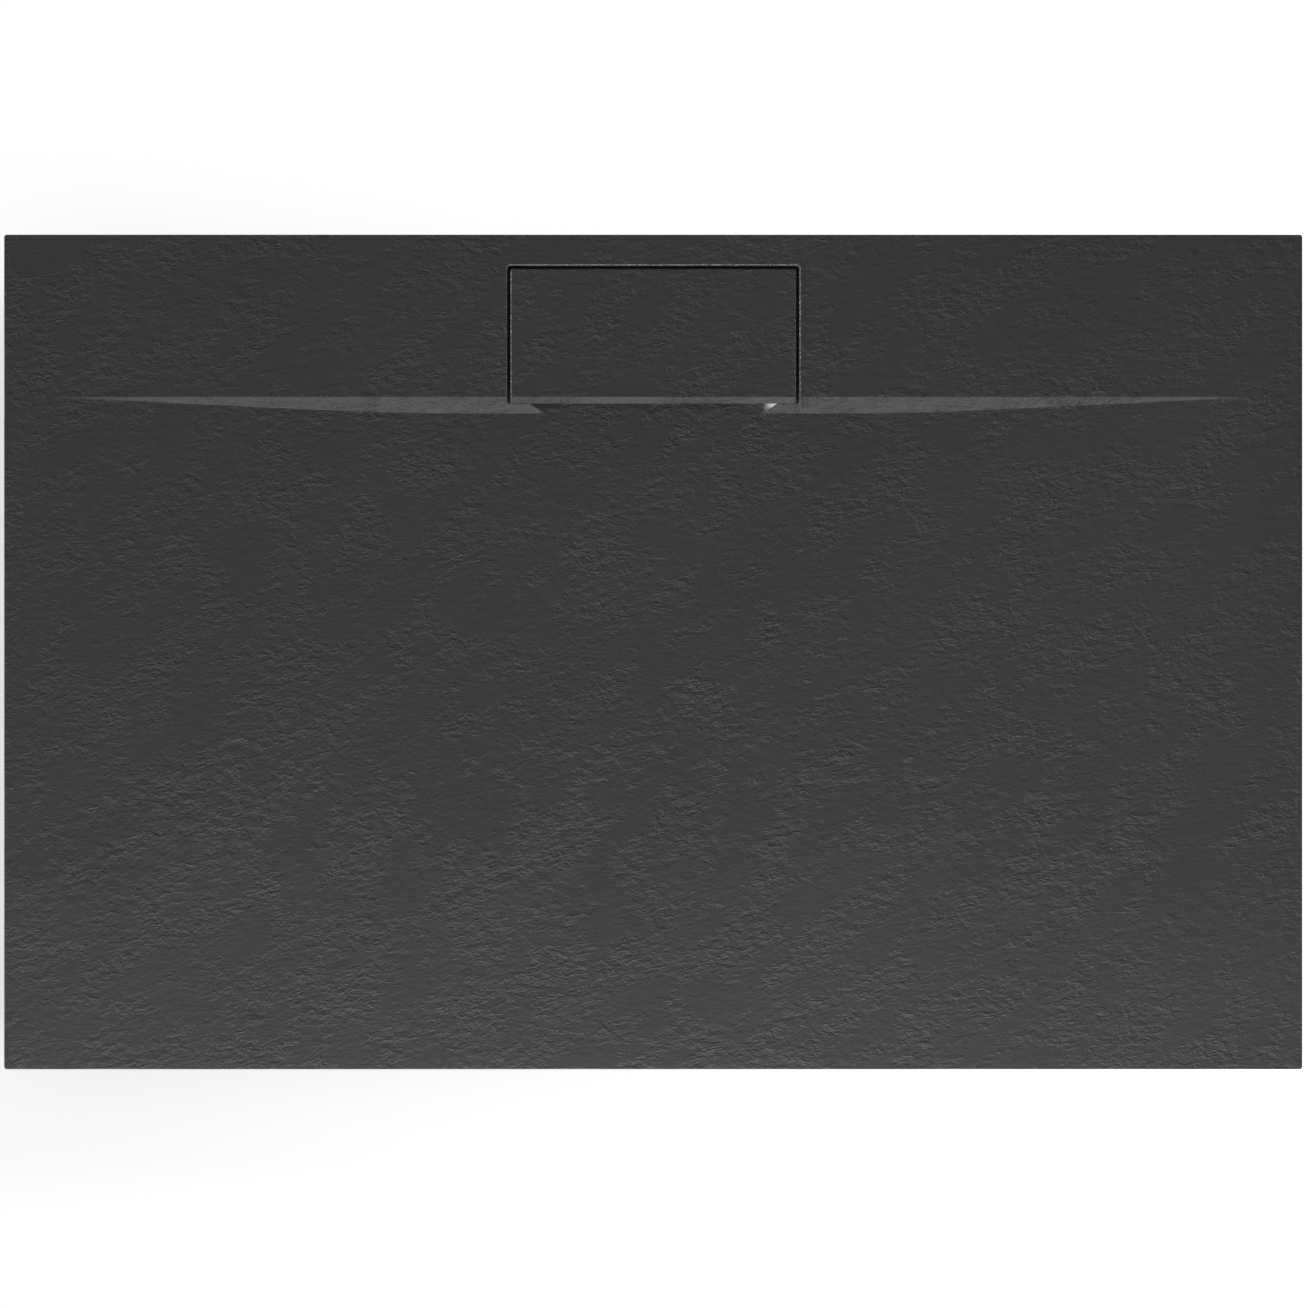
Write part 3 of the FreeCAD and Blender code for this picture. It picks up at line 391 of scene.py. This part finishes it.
def carved(name, node, block, material):
    """A CAD node's shape, cut down to what lies inside a block, as a new piece.

    A merged copy of the node's mesh is intersected with the block, which is then thrown away.
    """
    shape = bmesh.new()
    shape.from_mesh(nodes[node].data)
    bmesh.ops.remove_doubles(shape, verts=shape.verts, dist=0.000002)
    whole = bpy.data.meshes.new(name + "_whole")
    shape.to_mesh(whole)
    shape.free()
    if "custom_normal" in whole.attributes:
        whole.attributes.remove(whole.attributes["custom_normal"])
    uncut = bpy.data.objects.new(name + "_uncut", whole)
    for piece in (uncut, block):
        bpy.context.collection.objects.link(piece)
    cut = uncut.modifiers.new("cut", "BOOLEAN")
    cut.operation, cut.solver, cut.object = "INTERSECT", "MANIFOLD", block
    bpy.context.view_layer.update()
    mesh = bpy.data.meshes.new_from_object(
        uncut.evaluated_get(bpy.context.evaluated_depsgraph_get()))
    for piece in (uncut, block):
        bpy.data.objects.remove(piece)
    mesh.materials.clear()
    mesh.materials.append(material)
    mesh.polygons.foreach_set("use_smooth", np.ones(len(mesh.polygons), bool))
    smooth_below = 25
    mesh.set_sharp_from_angle(angle=math.radians(smooth_below))
    made = bpy.data.objects.new(name, mesh)
    bpy.context.collection.objects.link(made)
    return made


# The grid is about 4.7 mm wide, with lines added at the bends of the fall and round the rebate.
# The relief dies out at the rebate's bevelled rim and is weak on the riser.
sunk = 0.02
rebate_half, rebate_front, rebate_back = 157.5, 200.0, 416.5
rebate_corner, rebate_bevel = 4.0, 1.5
by_rim = np.array([-4.0, -2.0, -0.3, 0.0, 0.7, rebate_bevel])
x_lines = np.unique(np.round(np.concatenate([
    np.linspace(-704, 704, 300), [-653, 653, -385, 385, -185, 185],
    rebate_half + by_rim, -rebate_half - by_rim]), 2))
y_lines = np.unique(np.round(np.concatenate([
    np.linspace(-454, 454, 196), [-438, 257.5, 262, 266, 270.5, 275, 275.6],
    rebate_back + by_rim]), 2))
x, y = np.meshgrid(x_lines, y_lines)
rim = rim_distance(x, y, rebate_half, rebate_front, rebate_back, rebate_corner)
bevel = np.clip(rebate_bevel - rim, 0, rebate_bevel)
bevel = bevel * np.clip((rim + 0.3) / 0.3, 0, 1) * np.clip((y - 259) / 4, 0, 1)
on_riser = (y > 250) & (y < 278)
calm = np.clip((rim - rebate_bevel) / 6, 0, 1) * np.where(on_riser, 0.35, 1.0)
height = slab_top(x, y) - sunk - split_relief(x, y, seed=5) * calm - bevel
slab_paint = slate("slate slab", shift=(0, 0, 0), bare_below=0.1035,
                   bare_area=(0.0, 0.0, 0.695, 0.445), channel=(0.0, 0.3287, 0.134, 0.0725),
                   ledge=0.0965)
slab_block = under_face("slab_block", x_lines, y_lines, height, bottom=60.0)
slab = carved("slate_slab", "tray_body", slab_block, slab_paint)
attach(slab, "tray")
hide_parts("tray_body")


# ============================================================ drain cover
# A loose slab of the same composite, cast in its own mould and dropped into the rebate so that
# its top is level with the shelf. Its underside is the bare casting.
cover_half, cover_front, cover_back, cover_low = 154.0, 200.0, 413.0, 266
cover_corner, cover_bevel, shelf_starts = 2.0, 1.4, 275
by_edge = np.array([-cover_bevel, 0.0])
x_lines = np.unique(np.round(np.concatenate([
    np.linspace(-156, 156, 180), cover_half + by_edge, -cover_half - by_edge]), 2))
y_lines = np.unique(np.round(np.concatenate([
    np.linspace(265, 416, 90), [shelf_starts, 275.5], cover_back + by_edge]), 2))
x, y = np.meshgrid(x_lines, y_lines)
inward = -rim_distance(x, y, cover_half, cover_front, cover_back, cover_corner)
bevel = np.clip(cover_bevel - inward, 0, cover_bevel)
calm = np.clip((inward - cover_bevel) / 5, 0, 1) * np.clip((y - shelf_starts) / 6, 0, 1)
height = slab_top(x, np.maximum(y, cover_low)) - sunk
height = height - split_relief(x, y, seed=25) * calm - bevel
cover_paint = slate("slate cover", shift=(3.1, 1.7, 0), bare_below=0.0985,
                    bare_area=(0.0, 0.0, 0.1515, 0.4115), channel=(0.0, 0.0, 0.0, 0.0),
                    ledge=1.0)
cover_block = under_face("cover_block", x_lines, y_lines, height, bottom=90.0)
cover = carved("slate_cover", "waste_cover", cover_block, cover_paint)
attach(cover, "cover")
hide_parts("waste_cover")


# ============================================================ cover bumpers
# Soft silicone buttons pressed into pockets of the ledge, which stop the cover from rattling.
# They come off a sheet tool with a dull skin that holds a little dust.
def moulded_skin():
    """A moulded skin: close spark-etched grain over slow sink marks, with scuffs.

    height = fine noise + slow noise, tone = slow noise, scuff = thresholded stretched noise
    """
    tree, given, gives = effect(
        "moulded skin", [("Place", "vector")],
        [("Height", "float"), ("Tone", "float"), ("Scuff", "float")])
    place = given.outputs["Place"]
    etched = grain(tree, place, 2400.0, 2.0, 0.6)
    sink = grain(tree, place, 60.0, 2.0)
    cloud = grain(tree, place, 110.0, 4.0, 0.65, 0.6)
    scuffed = grain(tree, laid(tree, place, 35, (260, 60, 160)), 1.0, 3.0, 0.7)
    tree.links.new(maths(tree, "ADD", etched, maths(tree, "MULTIPLY", sink, 3.0)),
                   gives.inputs["Height"])
    tree.links.new(cloud, gives.inputs["Tone"])
    tree.links.new(spread(tree, scuffed, 0.56, 0.72), gives.inputs["Scuff"])
    return tree


def settled_dust():
    """Dust on faces that look up, thicker in clouds: a mask from the facing and a noise."""
    tree, given, gives = effect("settled dust", [("Place", "vector"), ("Facing", "vector")],
                                [("Mask", "float")])
    cloud = spread(tree, grain(tree, given.outputs["Place"], 90.0, 5.0, 0.7), 0.35, 0.7)
    up = add(tree, "ShaderNodeSeparateXYZ", given.outputs["Facing"]).outputs[2]
    tree.links.new(maths(tree, "MULTIPLY", cloud, spread(tree, up, 0.2, 0.9)),
                   gives.inputs["Mask"])
    return tree


skin = moulded_skin()
dust = settled_dust()


def moulding(name, dark, pale, gloss, worn, dirt, depth=0.00002):
    """A moulded plastic or rubber: two tones, roughness smooth to scuffed, dust on top."""
    made, tree, shader, coordinates = blank_material(name)
    surface = add(tree, "ShaderNodeGroup", node_tree=skin)
    tree.links.new(coordinates.outputs["Object"], surface.inputs["Place"])
    laying = add(tree, "ShaderNodeGroup", node_tree=dust)
    tree.links.new(coordinates.outputs["Object"], laying.inputs["Place"])
    tree.links.new(coordinates.outputs["Normal"], laying.inputs["Facing"])
    dusty = maths(tree, "MULTIPLY", laying.outputs["Mask"], dirt)
    colour = mixed(tree, surface.outputs["Tone"], dark, pale)
    colour = mixed(tree, maths(tree, "MULTIPLY", surface.outputs["Scuff"], 0.25), colour,
                   tuple(min(1.0, part * 1.6 + 0.02) for part in pale[:3]) + (1,))
    colour = mixed(tree, dusty, colour, grey(0.42, 0.06))
    tree.links.new(colour, shader.inputs["Base Color"])
    rough = between(tree, surface.outputs["Scuff"], gloss, worn)
    tree.links.new(between(tree, dusty, rough, 0.9), shader.inputs["Roughness"])
    roughened(tree, shader, maths(tree, "MULTIPLY", surface.outputs["Height"], depth))
    return made


silicone = moulding("bumper silicone", grey(0.022), grey(0.036), 0.42, 0.6, dirt=0.12)
dress(nodes["cover_bumpers"], silicone)


# ============================================================ waste flange and hair strainer
# Both are pressed from stainless sheet and brushed on a lathe, so the marks run round the
# waste. Water has left a faint film in places.
def turned_marks():
    """Marks that run round an axis at the origin: noise of radius and height, cut into arcs.

    streak = noise(radius, height) + a little noise(place), film = cloudy noise
    """
    tree, given, gives = effect("turned marks", [("Place", "vector")],
                                [("Streak", "float"), ("Film", "float")])
    place = given.outputs["Place"]
    x, y, z = add(tree, "ShaderNodeSeparateXYZ", place).outputs
    radius = maths(tree, "SQRT", maths(tree, "ADD", maths(tree, "MULTIPLY", x, x),
                                       maths(tree, "MULTIPLY", y, y)))
    rings = add(tree, "ShaderNodeCombineXYZ", maths(tree, "MULTIPLY", radius, 1500.0),
                maths(tree, "MULTIPLY", z, 1500.0), 0.0).outputs[0]
    streak = grain(tree, rings, 1.0, 3.0, 0.7)
    arcs = grain(tree, place, 120.0, 2.0)
    film = spread(tree, grain(tree, place, 55.0, 5.0, 0.65, 1.0), 0.45, 0.7)
    tree.links.new(maths(tree, "ADD", maths(tree, "MULTIPLY", streak, 0.8),
                         maths(tree, "MULTIPLY", arcs, 0.2)), gives.inputs["Streak"])
    tree.links.new(film, gives.inputs["Film"])
    return tree


turned = turned_marks()


def brushed(name, axis, dark, pale, rough_low, rough_high, film=0.35):
    """Metal turned about a vertical axis: streaks in its tone, gloss and relief."""
    made, tree, shader, coordinates = blank_material(name)
    shader.inputs["Metallic"].default_value = 1.0
    centred = add(tree, "ShaderNodeMapping", coordinates.outputs["Object"],
                  (-axis[0], -axis[1], 0)).outputs[0]
    surface = add(tree, "ShaderNodeGroup", node_tree=turned)
    tree.links.new(centred, surface.inputs["Place"])
    filmed = maths(tree, "MULTIPLY", surface.outputs["Film"], film)
    colour = mixed(tree, surface.outputs["Streak"], dark, pale)
    tree.links.new(mixed(tree, filmed, colour, grey(0.4, 0.02)), shader.inputs["Base Color"])
    rough = between(tree, surface.outputs["Streak"], rough_low, rough_high)
    tree.links.new(between(tree, filmed, rough, 0.55), shader.inputs["Roughness"])
    roughened(tree, shader, maths(tree, "MULTIPLY", surface.outputs["Streak"], 0.00003))
    return made


waste_axis = (0.0, 0.338)
stainless = brushed("brushed stainless", waste_axis, grey(0.4), grey(0.72), 0.2, 0.48)
dress(nodes["waste_flange"], stainless)
dress(nodes["hair_strainer"], stainless)


# ============================================================ clamp screws
# Four pan-head screws with a cross recess draw the flange down on its seal. They are cold
# headed from wire and tumbled, so their marks are short and lie every way.
def tumbled_marks():
    """Short nicks and a soft mottle: thresholded noise and cloudy noise."""
    tree, given, gives = effect("tumbled marks", [("Place", "vector")],
                                [("Nick", "float"), ("Mottle", "float")])
    place = given.outputs["Place"]
    tree.links.new(spread(tree, grain(tree, place, 2200.0, 3.0, 0.7), 0.5, 0.68),
                   gives.inputs["Nick"])
    tree.links.new(grain(tree, place, 420.0, 4.0, 0.6, 0.8), gives.inputs["Mottle"])
    return tree


tumbled = tumbled_marks()


def plated(name, dark, pale, rough_low, rough_high):
    """Tumbled or plated steel: mottled tone, with nicks in its gloss and relief."""
    made, tree, shader, coordinates = blank_material(name)
    shader.inputs["Metallic"].default_value = 1.0
    surface = add(tree, "ShaderNodeGroup", node_tree=tumbled)
    tree.links.new(coordinates.outputs["Object"], surface.inputs["Place"])
    colour = mixed(tree, surface.outputs["Mottle"], dark, pale)
    tree.links.new(colour, shader.inputs["Base Color"])
    rough = between(tree, surface.outputs["Nick"], rough_low, rough_high)
    tree.links.new(rough, shader.inputs["Roughness"])
    roughened(tree, shader, maths(tree, "MULTIPLY", surface.outputs["Nick"], -0.000004))
    return made


def round_piece(name, profiles, material, smooth_below):
    """One mesh of closed round shapes. Each is an array of rings from one pole to the other,
    rows x columns x 3: quads join each ring to the next, and a flat face ends it at each pole.
    Edges that fold by more than an angle (degrees) stay sharp."""
    points, faces, start = [], [], 0
    for rings in profiles:
        rows, columns = rings.shape[:2]
        row, column = np.meshgrid(np.arange(rows - 1), np.arange(columns), indexing="ij")
        after = (column + 1) % columns
        low, high = start + row * columns, start + (row + 1) * columns
        quads = np.stack([low + column, low + after, high + after, high + column], axis=-1)
        faces += quads.reshape(-1, 4).tolist()
        faces.append(list(range(start + columns - 1, start - 1, -1)))
        faces.append(list(range(start + (rows - 1) * columns, start + rows * columns)))
        points.append(rings.reshape(-1, 3))
        start += rows * columns
    mesh = bpy.data.meshes.new(name)
    mesh.from_pydata(np.concatenate(points).tolist(), [], faces)
    mesh.polygons.foreach_set("use_smooth", np.ones(len(mesh.polygons), bool))
    mesh.set_sharp_from_angle(angle=math.radians(smooth_below))
    mesh.materials.append(material)
    made = bpy.data.objects.new(name, mesh)
    bpy.context.collection.objects.link(made)
    return made


def pan_head_screw(x, y, seat, up, head, tall, shank, length):
    """The rings of a pan-head screw, pole to pole, in millimetres.

    Top: height = tall x (1 - 0.35 (r / head)^4) minus a cross recess, two crossed bars with
    sloping sides. Then the head's seat, the shank and a short point. With up = -1 the head
    hangs below its seat.
    """
    turn = np.linspace(0, 2 * np.pi, 48, endpoint=False)
    across = np.cos(turn)[None, :]
    along = np.sin(turn)[None, :]
    reach = (head * np.linspace(0.02, 1.0, 16))[:, None]
    bar_x, bar_y = np.abs(reach * across) / head, np.abs(reach * along) / head

    def bar(long_way, short_way):
        return np.clip((0.62 - long_way) / 0.1, 0, 1) * np.clip((0.17 - short_way) / 0.06, 0, 1)

    dome, recess_depth = 0.35, 0.55
    recess = np.maximum(bar(bar_x, bar_y), bar(bar_y, bar_x)) * (1 - 0.4 * reach / head)
    crown = tall * (1 - dome * (reach / head) ** 4) - recess_depth * tall * recess
    radii = [reach[-1, 0], shank, shank, shank * 0.4]
    heights = [0.0, 0.0, -length + shank, -length]
    side_reach = np.array(radii)[:, None] + 0 * across
    side_height = np.array(heights)[:, None] + 0 * across
    rings_reach = np.concatenate([reach + 0 * across, side_reach])
    rings_height = np.concatenate([crown, side_height])
    rings = np.stack([x + rings_reach * across, y + rings_reach * along,
                      seat + up * rings_height], axis=-1)
    return (rings[::-1] if up > 0 else rings) / 1000


screw_steel = plated("screw steel", grey(0.42), grey(0.58), 0.25, 0.45)
clamp_circle, flange_shelf = 38.9, 76.0
off = clamp_circle * math.cos(math.pi / 4)
clamps = round_piece("clamp_screws_recessed", [
    pan_head_screw(across * off, 1000 * waste_axis[1] + along * off, flange_shelf, up=1,
                   head=3.4, tall=2.6, shank=2.0, length=32.0)
    for across in (-1, 1) for along in (-1, 1)], screw_steel, smooth_below=35)
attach(clamps, "tray")
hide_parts("clamp_screws")


# ============================================================ seals
# Black rubber rings: one under the flange, one under the slab, an O-ring on the insert and a
# cone ring that the outlet nut squeezes on the pipe. A trace of talc is left on them.
rubber = moulding("seal rubber", grey(0.014), grey(0.026), 0.55, 0.75, dirt=0.15,
                  depth=0.00003)
for ring in ("flange_seal", "body_seal", "insert_o_ring", "outlet_seal"):
    dress(nodes[ring], rubber)


# ============================================================ trap
# The bowl, its floor disc and the weir are off-white polypropylene, welded together. The
# insert that lifts out is grey, and the outlet nut is black, so a fitter can tell them apart.
trap_plastic = moulding("trap polypropylene", grey(0.66, 0.012), grey(0.76, 0.012), 0.34, 0.5,
                        dirt=0.3)
insert_plastic = moulding("insert polypropylene", grey(0.27, -0.02), grey(0.34, -0.02), 0.36,
                          0.52, dirt=0.2)
nut_plastic = moulding("nut polypropylene", grey(0.035), grey(0.055), 0.38, 0.55, dirt=0.25)
for part in ("trap_body", "trap_base", "trap_weir"):
    dress(nodes[part], trap_plastic)
dress(nodes["trap_insert"], insert_plastic)
dress(nodes["outlet_nut"], nut_plastic)


# ============================================================ levelling feet
# Eight adjustable feet: a black polyamide socket screwed up to the slab, a zinc-plated M12
# spindle with a spanner collar and a lock nut, and a pad whose cup snaps over its ball.
polyamide = moulding("foot polyamide", grey(0.036, -0.02), grey(0.058, -0.02), 0.4, 0.6,
                     dirt=0.18)
zinc = plated("zinc plating", (0.55, 0.56, 0.56, 1), (0.7, 0.7, 0.68, 1), 0.22, 0.4)
foot_places = {"front_left": (-620, -370), "front_centre": (0, -370),
               "front_right": (620, -370), "middle_left": (-620, 0), "middle_centre": (0, 0),
               "middle_right": (620, 0), "back_left": (-620, 370), "back_right": (620, 370)}


def spindle(x, y):
    """The rings of a threaded spindle, pole to pole, in millimetres.

    The ball is a circle's arc, the collar a circle cut by six flats (flat / cos of the angle
    from each flat's middle), and the thread a radius less depth x a flat-topped wave of
    (height / pitch - turn / 360 degrees), which fades out at the collar and the tip.
    """
    ball, ball_height, neck, thread, pitch, depth = 8.0, 12.0, 5.0, 6.0, 1.75, 1.07
    collar_low, collar_high, flat, tip = 19.0, 26.0, 9.5, 83.0
    corner = flat / math.cos(math.pi / 6)
    turn = np.linspace(0, 2 * np.pi, 48, endpoint=False)[None, :]
    slope = np.linspace(-math.pi / 2 + 0.05, math.acos(neck / ball), 14)
    height = [ball_height + ball * np.sin(slope), [collar_low, collar_low, collar_low + 1,
              collar_high - 1, collar_high, collar_high]]
    radius = [ball * np.cos(slope), [neck, corner - 1.5, corner, corner, corner - 1.5, thread]]
    kind = [0 * slope, [0, 1, 1, 1, 1, 0]]
    run = np.arange(collar_high + 0.1, tip, pitch / 8)
    height += [run, [tip]]
    radius += [np.minimum(thread, thread - 1 + (tip - run)), [thread - 1]]
    kind += [0 * run + 2, [0]]
    height, radius, kind = (np.concatenate(part)[:, None] for part in (height, radius, kind))
    from_flat = np.mod(turn + math.pi / 6, math.pi / 3) - math.pi / 6
    hexagon = np.minimum(radius, flat / np.cos(from_flat))
    phase = np.mod(height / pitch - turn / (2 * np.pi), 1.0)
    wave = np.clip(np.abs(phase - 0.5) * 3.2 - 0.2, 0, 1)
    fade = np.clip((height - collar_high) / 2, 0, 1)
    cut = np.minimum(radius, thread - depth * wave * fade)
    reach = np.where(kind == 1, hexagon, np.where(kind == 2, cut, radius + 0 * turn))
    return np.stack([x + reach * np.cos(turn), y + reach * np.sin(turn),
                     height + 0 * turn], axis=-1) / 1000


for spot, (x, y) in foot_places.items():
    dress(nodes["foot_socket_" + spot], polyamide)
    dress(nodes["foot_pad_" + spot], polyamide)
    dress(nodes["lock_nut_" + spot], zinc)
    threaded = round_piece("threaded_spindle_" + spot, [spindle(x, y)], zinc, smooth_below=50)
    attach(threaded, "spindle_" + spot)
    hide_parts("foot_spindle_" + spot)

screw_circle, plate_under = 29.0, 65.0
screws = round_piece("socket_screws_recessed", [
    pan_head_screw(x + screw_circle * math.cos(math.radians(angle)),
                   y + screw_circle * math.sin(math.radians(angle)), plate_under, up=-1,
                   head=4.5, tall=3.0, shank=2.4, length=16.0)
    for x, y in foot_places.values() for angle in (-90, 30, 150)], screw_steel, smooth_below=35)
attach(screws, "tray")
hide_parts("socket_screws")


# ============================================================ room floor, light and camera
# A pale studio floor that goes on past every view. Low light from the left picks out the
# relief, soft lamps fill it from the front and the right, and two more light the floor alone.
def room_floor(reach):
    """A flat square of the given half size at floor level."""
    mesh = bpy.data.meshes.new("room_floor")
    corners = np.array([[-1, -1, 0], [1, -1, 0], [1, 1, 0], [-1, 1, 0]]) * reach
    mesh.from_pydata(corners.tolist(), [], [(0, 1, 2, 3)])
    made = bpy.data.objects.new("room_floor", mesh)
    bpy.context.collection.objects.link(made)
    return made


floor = room_floor(30.0)
floor_glow, plain_light = 0.61, 0.30
floor_paint, tree, shader, coordinates = blank_material("studio floor")
mottle = grain(tree, coordinates.outputs["Object"], 3.0, 4.0, 0.6)
tree.links.new(mixed(tree, mottle, grey(0.79), grey(0.81)), shader.inputs["Base Color"])
tree.links.new(between(tree, mottle, 0.86, 0.94), shader.inputs["Roughness"])
path = tree.nodes.new("ShaderNodeLightPath")
mirrored = maths(tree, "MAXIMUM", path.outputs["Is Glossy Ray"],
                 path.outputs["Is Transmission Ray"])
seen = maths(tree, "MAXIMUM", path.outputs["Is Camera Ray"], mirrored)
shader.inputs["Emission Color"].default_value = grey(1.0)
tree.links.new(maths(tree, "MULTIPLY", seen, floor_glow), shader.inputs["Emission Strength"])
dress(floor, floor_paint)

world = bpy.data.worlds.new("studio")
bpy.context.scene.world = world
world.use_nodes = True
tree = world.node_tree
path = tree.nodes.new("ShaderNodeLightPath")
strength = spread(tree, path.outputs["Is Camera Ray"], 0.0, 1.0, plain_light, 1.0)
tree.nodes["Background"].inputs["Color"].default_value = grey(1.0)
tree.links.new(strength, tree.nodes["Background"].inputs["Strength"])


def lamp(name, at, aim, width, depth, power):
    """A soft rectangular light at a point, turned towards another."""
    data = bpy.data.lights.new(name, "AREA")
    data.shape = "RECTANGLE"
    data.size = width
    data.size_y = depth
    data.energy = power
    made = bpy.data.objects.new(name, data)
    bpy.context.collection.objects.link(made)
    direction = np.array(aim, float) - np.array(at, float)
    flat = math.hypot(direction[0], direction[1])
    made.location = at
    made.rotation_euler = (math.atan2(flat, -direction[2]), 0,
                           math.atan2(direction[1], direction[0]) - math.pi / 2)
    return made


def sun(name, azimuth, elevation, softness, strength):
    """Parallel light from an azimuth (degrees round from +X) and an elevation."""
    data = bpy.data.lights.new(name, "SUN")
    data.energy = strength
    data.angle = math.radians(softness)
    made = bpy.data.objects.new(name, data)
    bpy.context.collection.objects.link(made)
    made.rotation_euler = (0, math.radians(90 - elevation), math.radians(azimuth))
    return made


def lights_only(light, piece, included):
    """Let a light fall on one piece alone, or on everything but it."""
    group = bpy.data.collections.new(light.name + "_falls_on")
    group.objects.link(piece)
    group.collection_objects[0].light_linking.link_state = "INCLUDE" if included else "EXCLUDE"
    light.light_linking.receiver_collection = group


key = sun("key_left", azimuth=-172, elevation=19, softness=8, strength=1.75)
front = lamp("front_fill", (0.3, -1.7, 0.95), (0.1, -0.1, 0.1), 1.2, 1.2, 9)
near = lamp("front_edge_fill", (-0.15, -1.15, 0.55), (-0.15, -0.2, 0.1), 1.9, 0.3, 15)
side = lamp("right_fill", (2.3, -0.1, 0.7), (0.6, -0.1, 0.1), 0.8, 0.8, 6)
back_right = lamp("floor_light", (1.6, 2.2, 1.7), (-0.2, -0.5, 0), 1.4, 1.4, 48)
front_right = lamp("floor_front_light", (1.2, -1.1, 1.2), (0.8, -0.8, 0), 0.8, 0.8, 17)
for light in (key, front, near, side):
    lights_only(light, floor, False)
for light in (back_right, front_right):
    lights_only(light, floor, True)

sensor, above, tray_length, tray_top = 36.0, 12.0, 1.4, 0.105
photo_pixels, tray_pixels = 1308, 1298.5
camera_data = bpy.data.cameras.new("camera")
camera = bpy.data.objects.new("camera", camera_data)
bpy.context.collection.objects.link(camera)
camera_data.sensor_width = sensor
camera_data.lens = sensor * above / (tray_length * photo_pixels / tray_pixels)
camera_data.clip_end = 100.0
camera.location = (0.0008, -0.0022, tray_top + above)
bpy.context.scene.camera = camera
bpy.context.scene.view_settings.view_transform = "Standard"
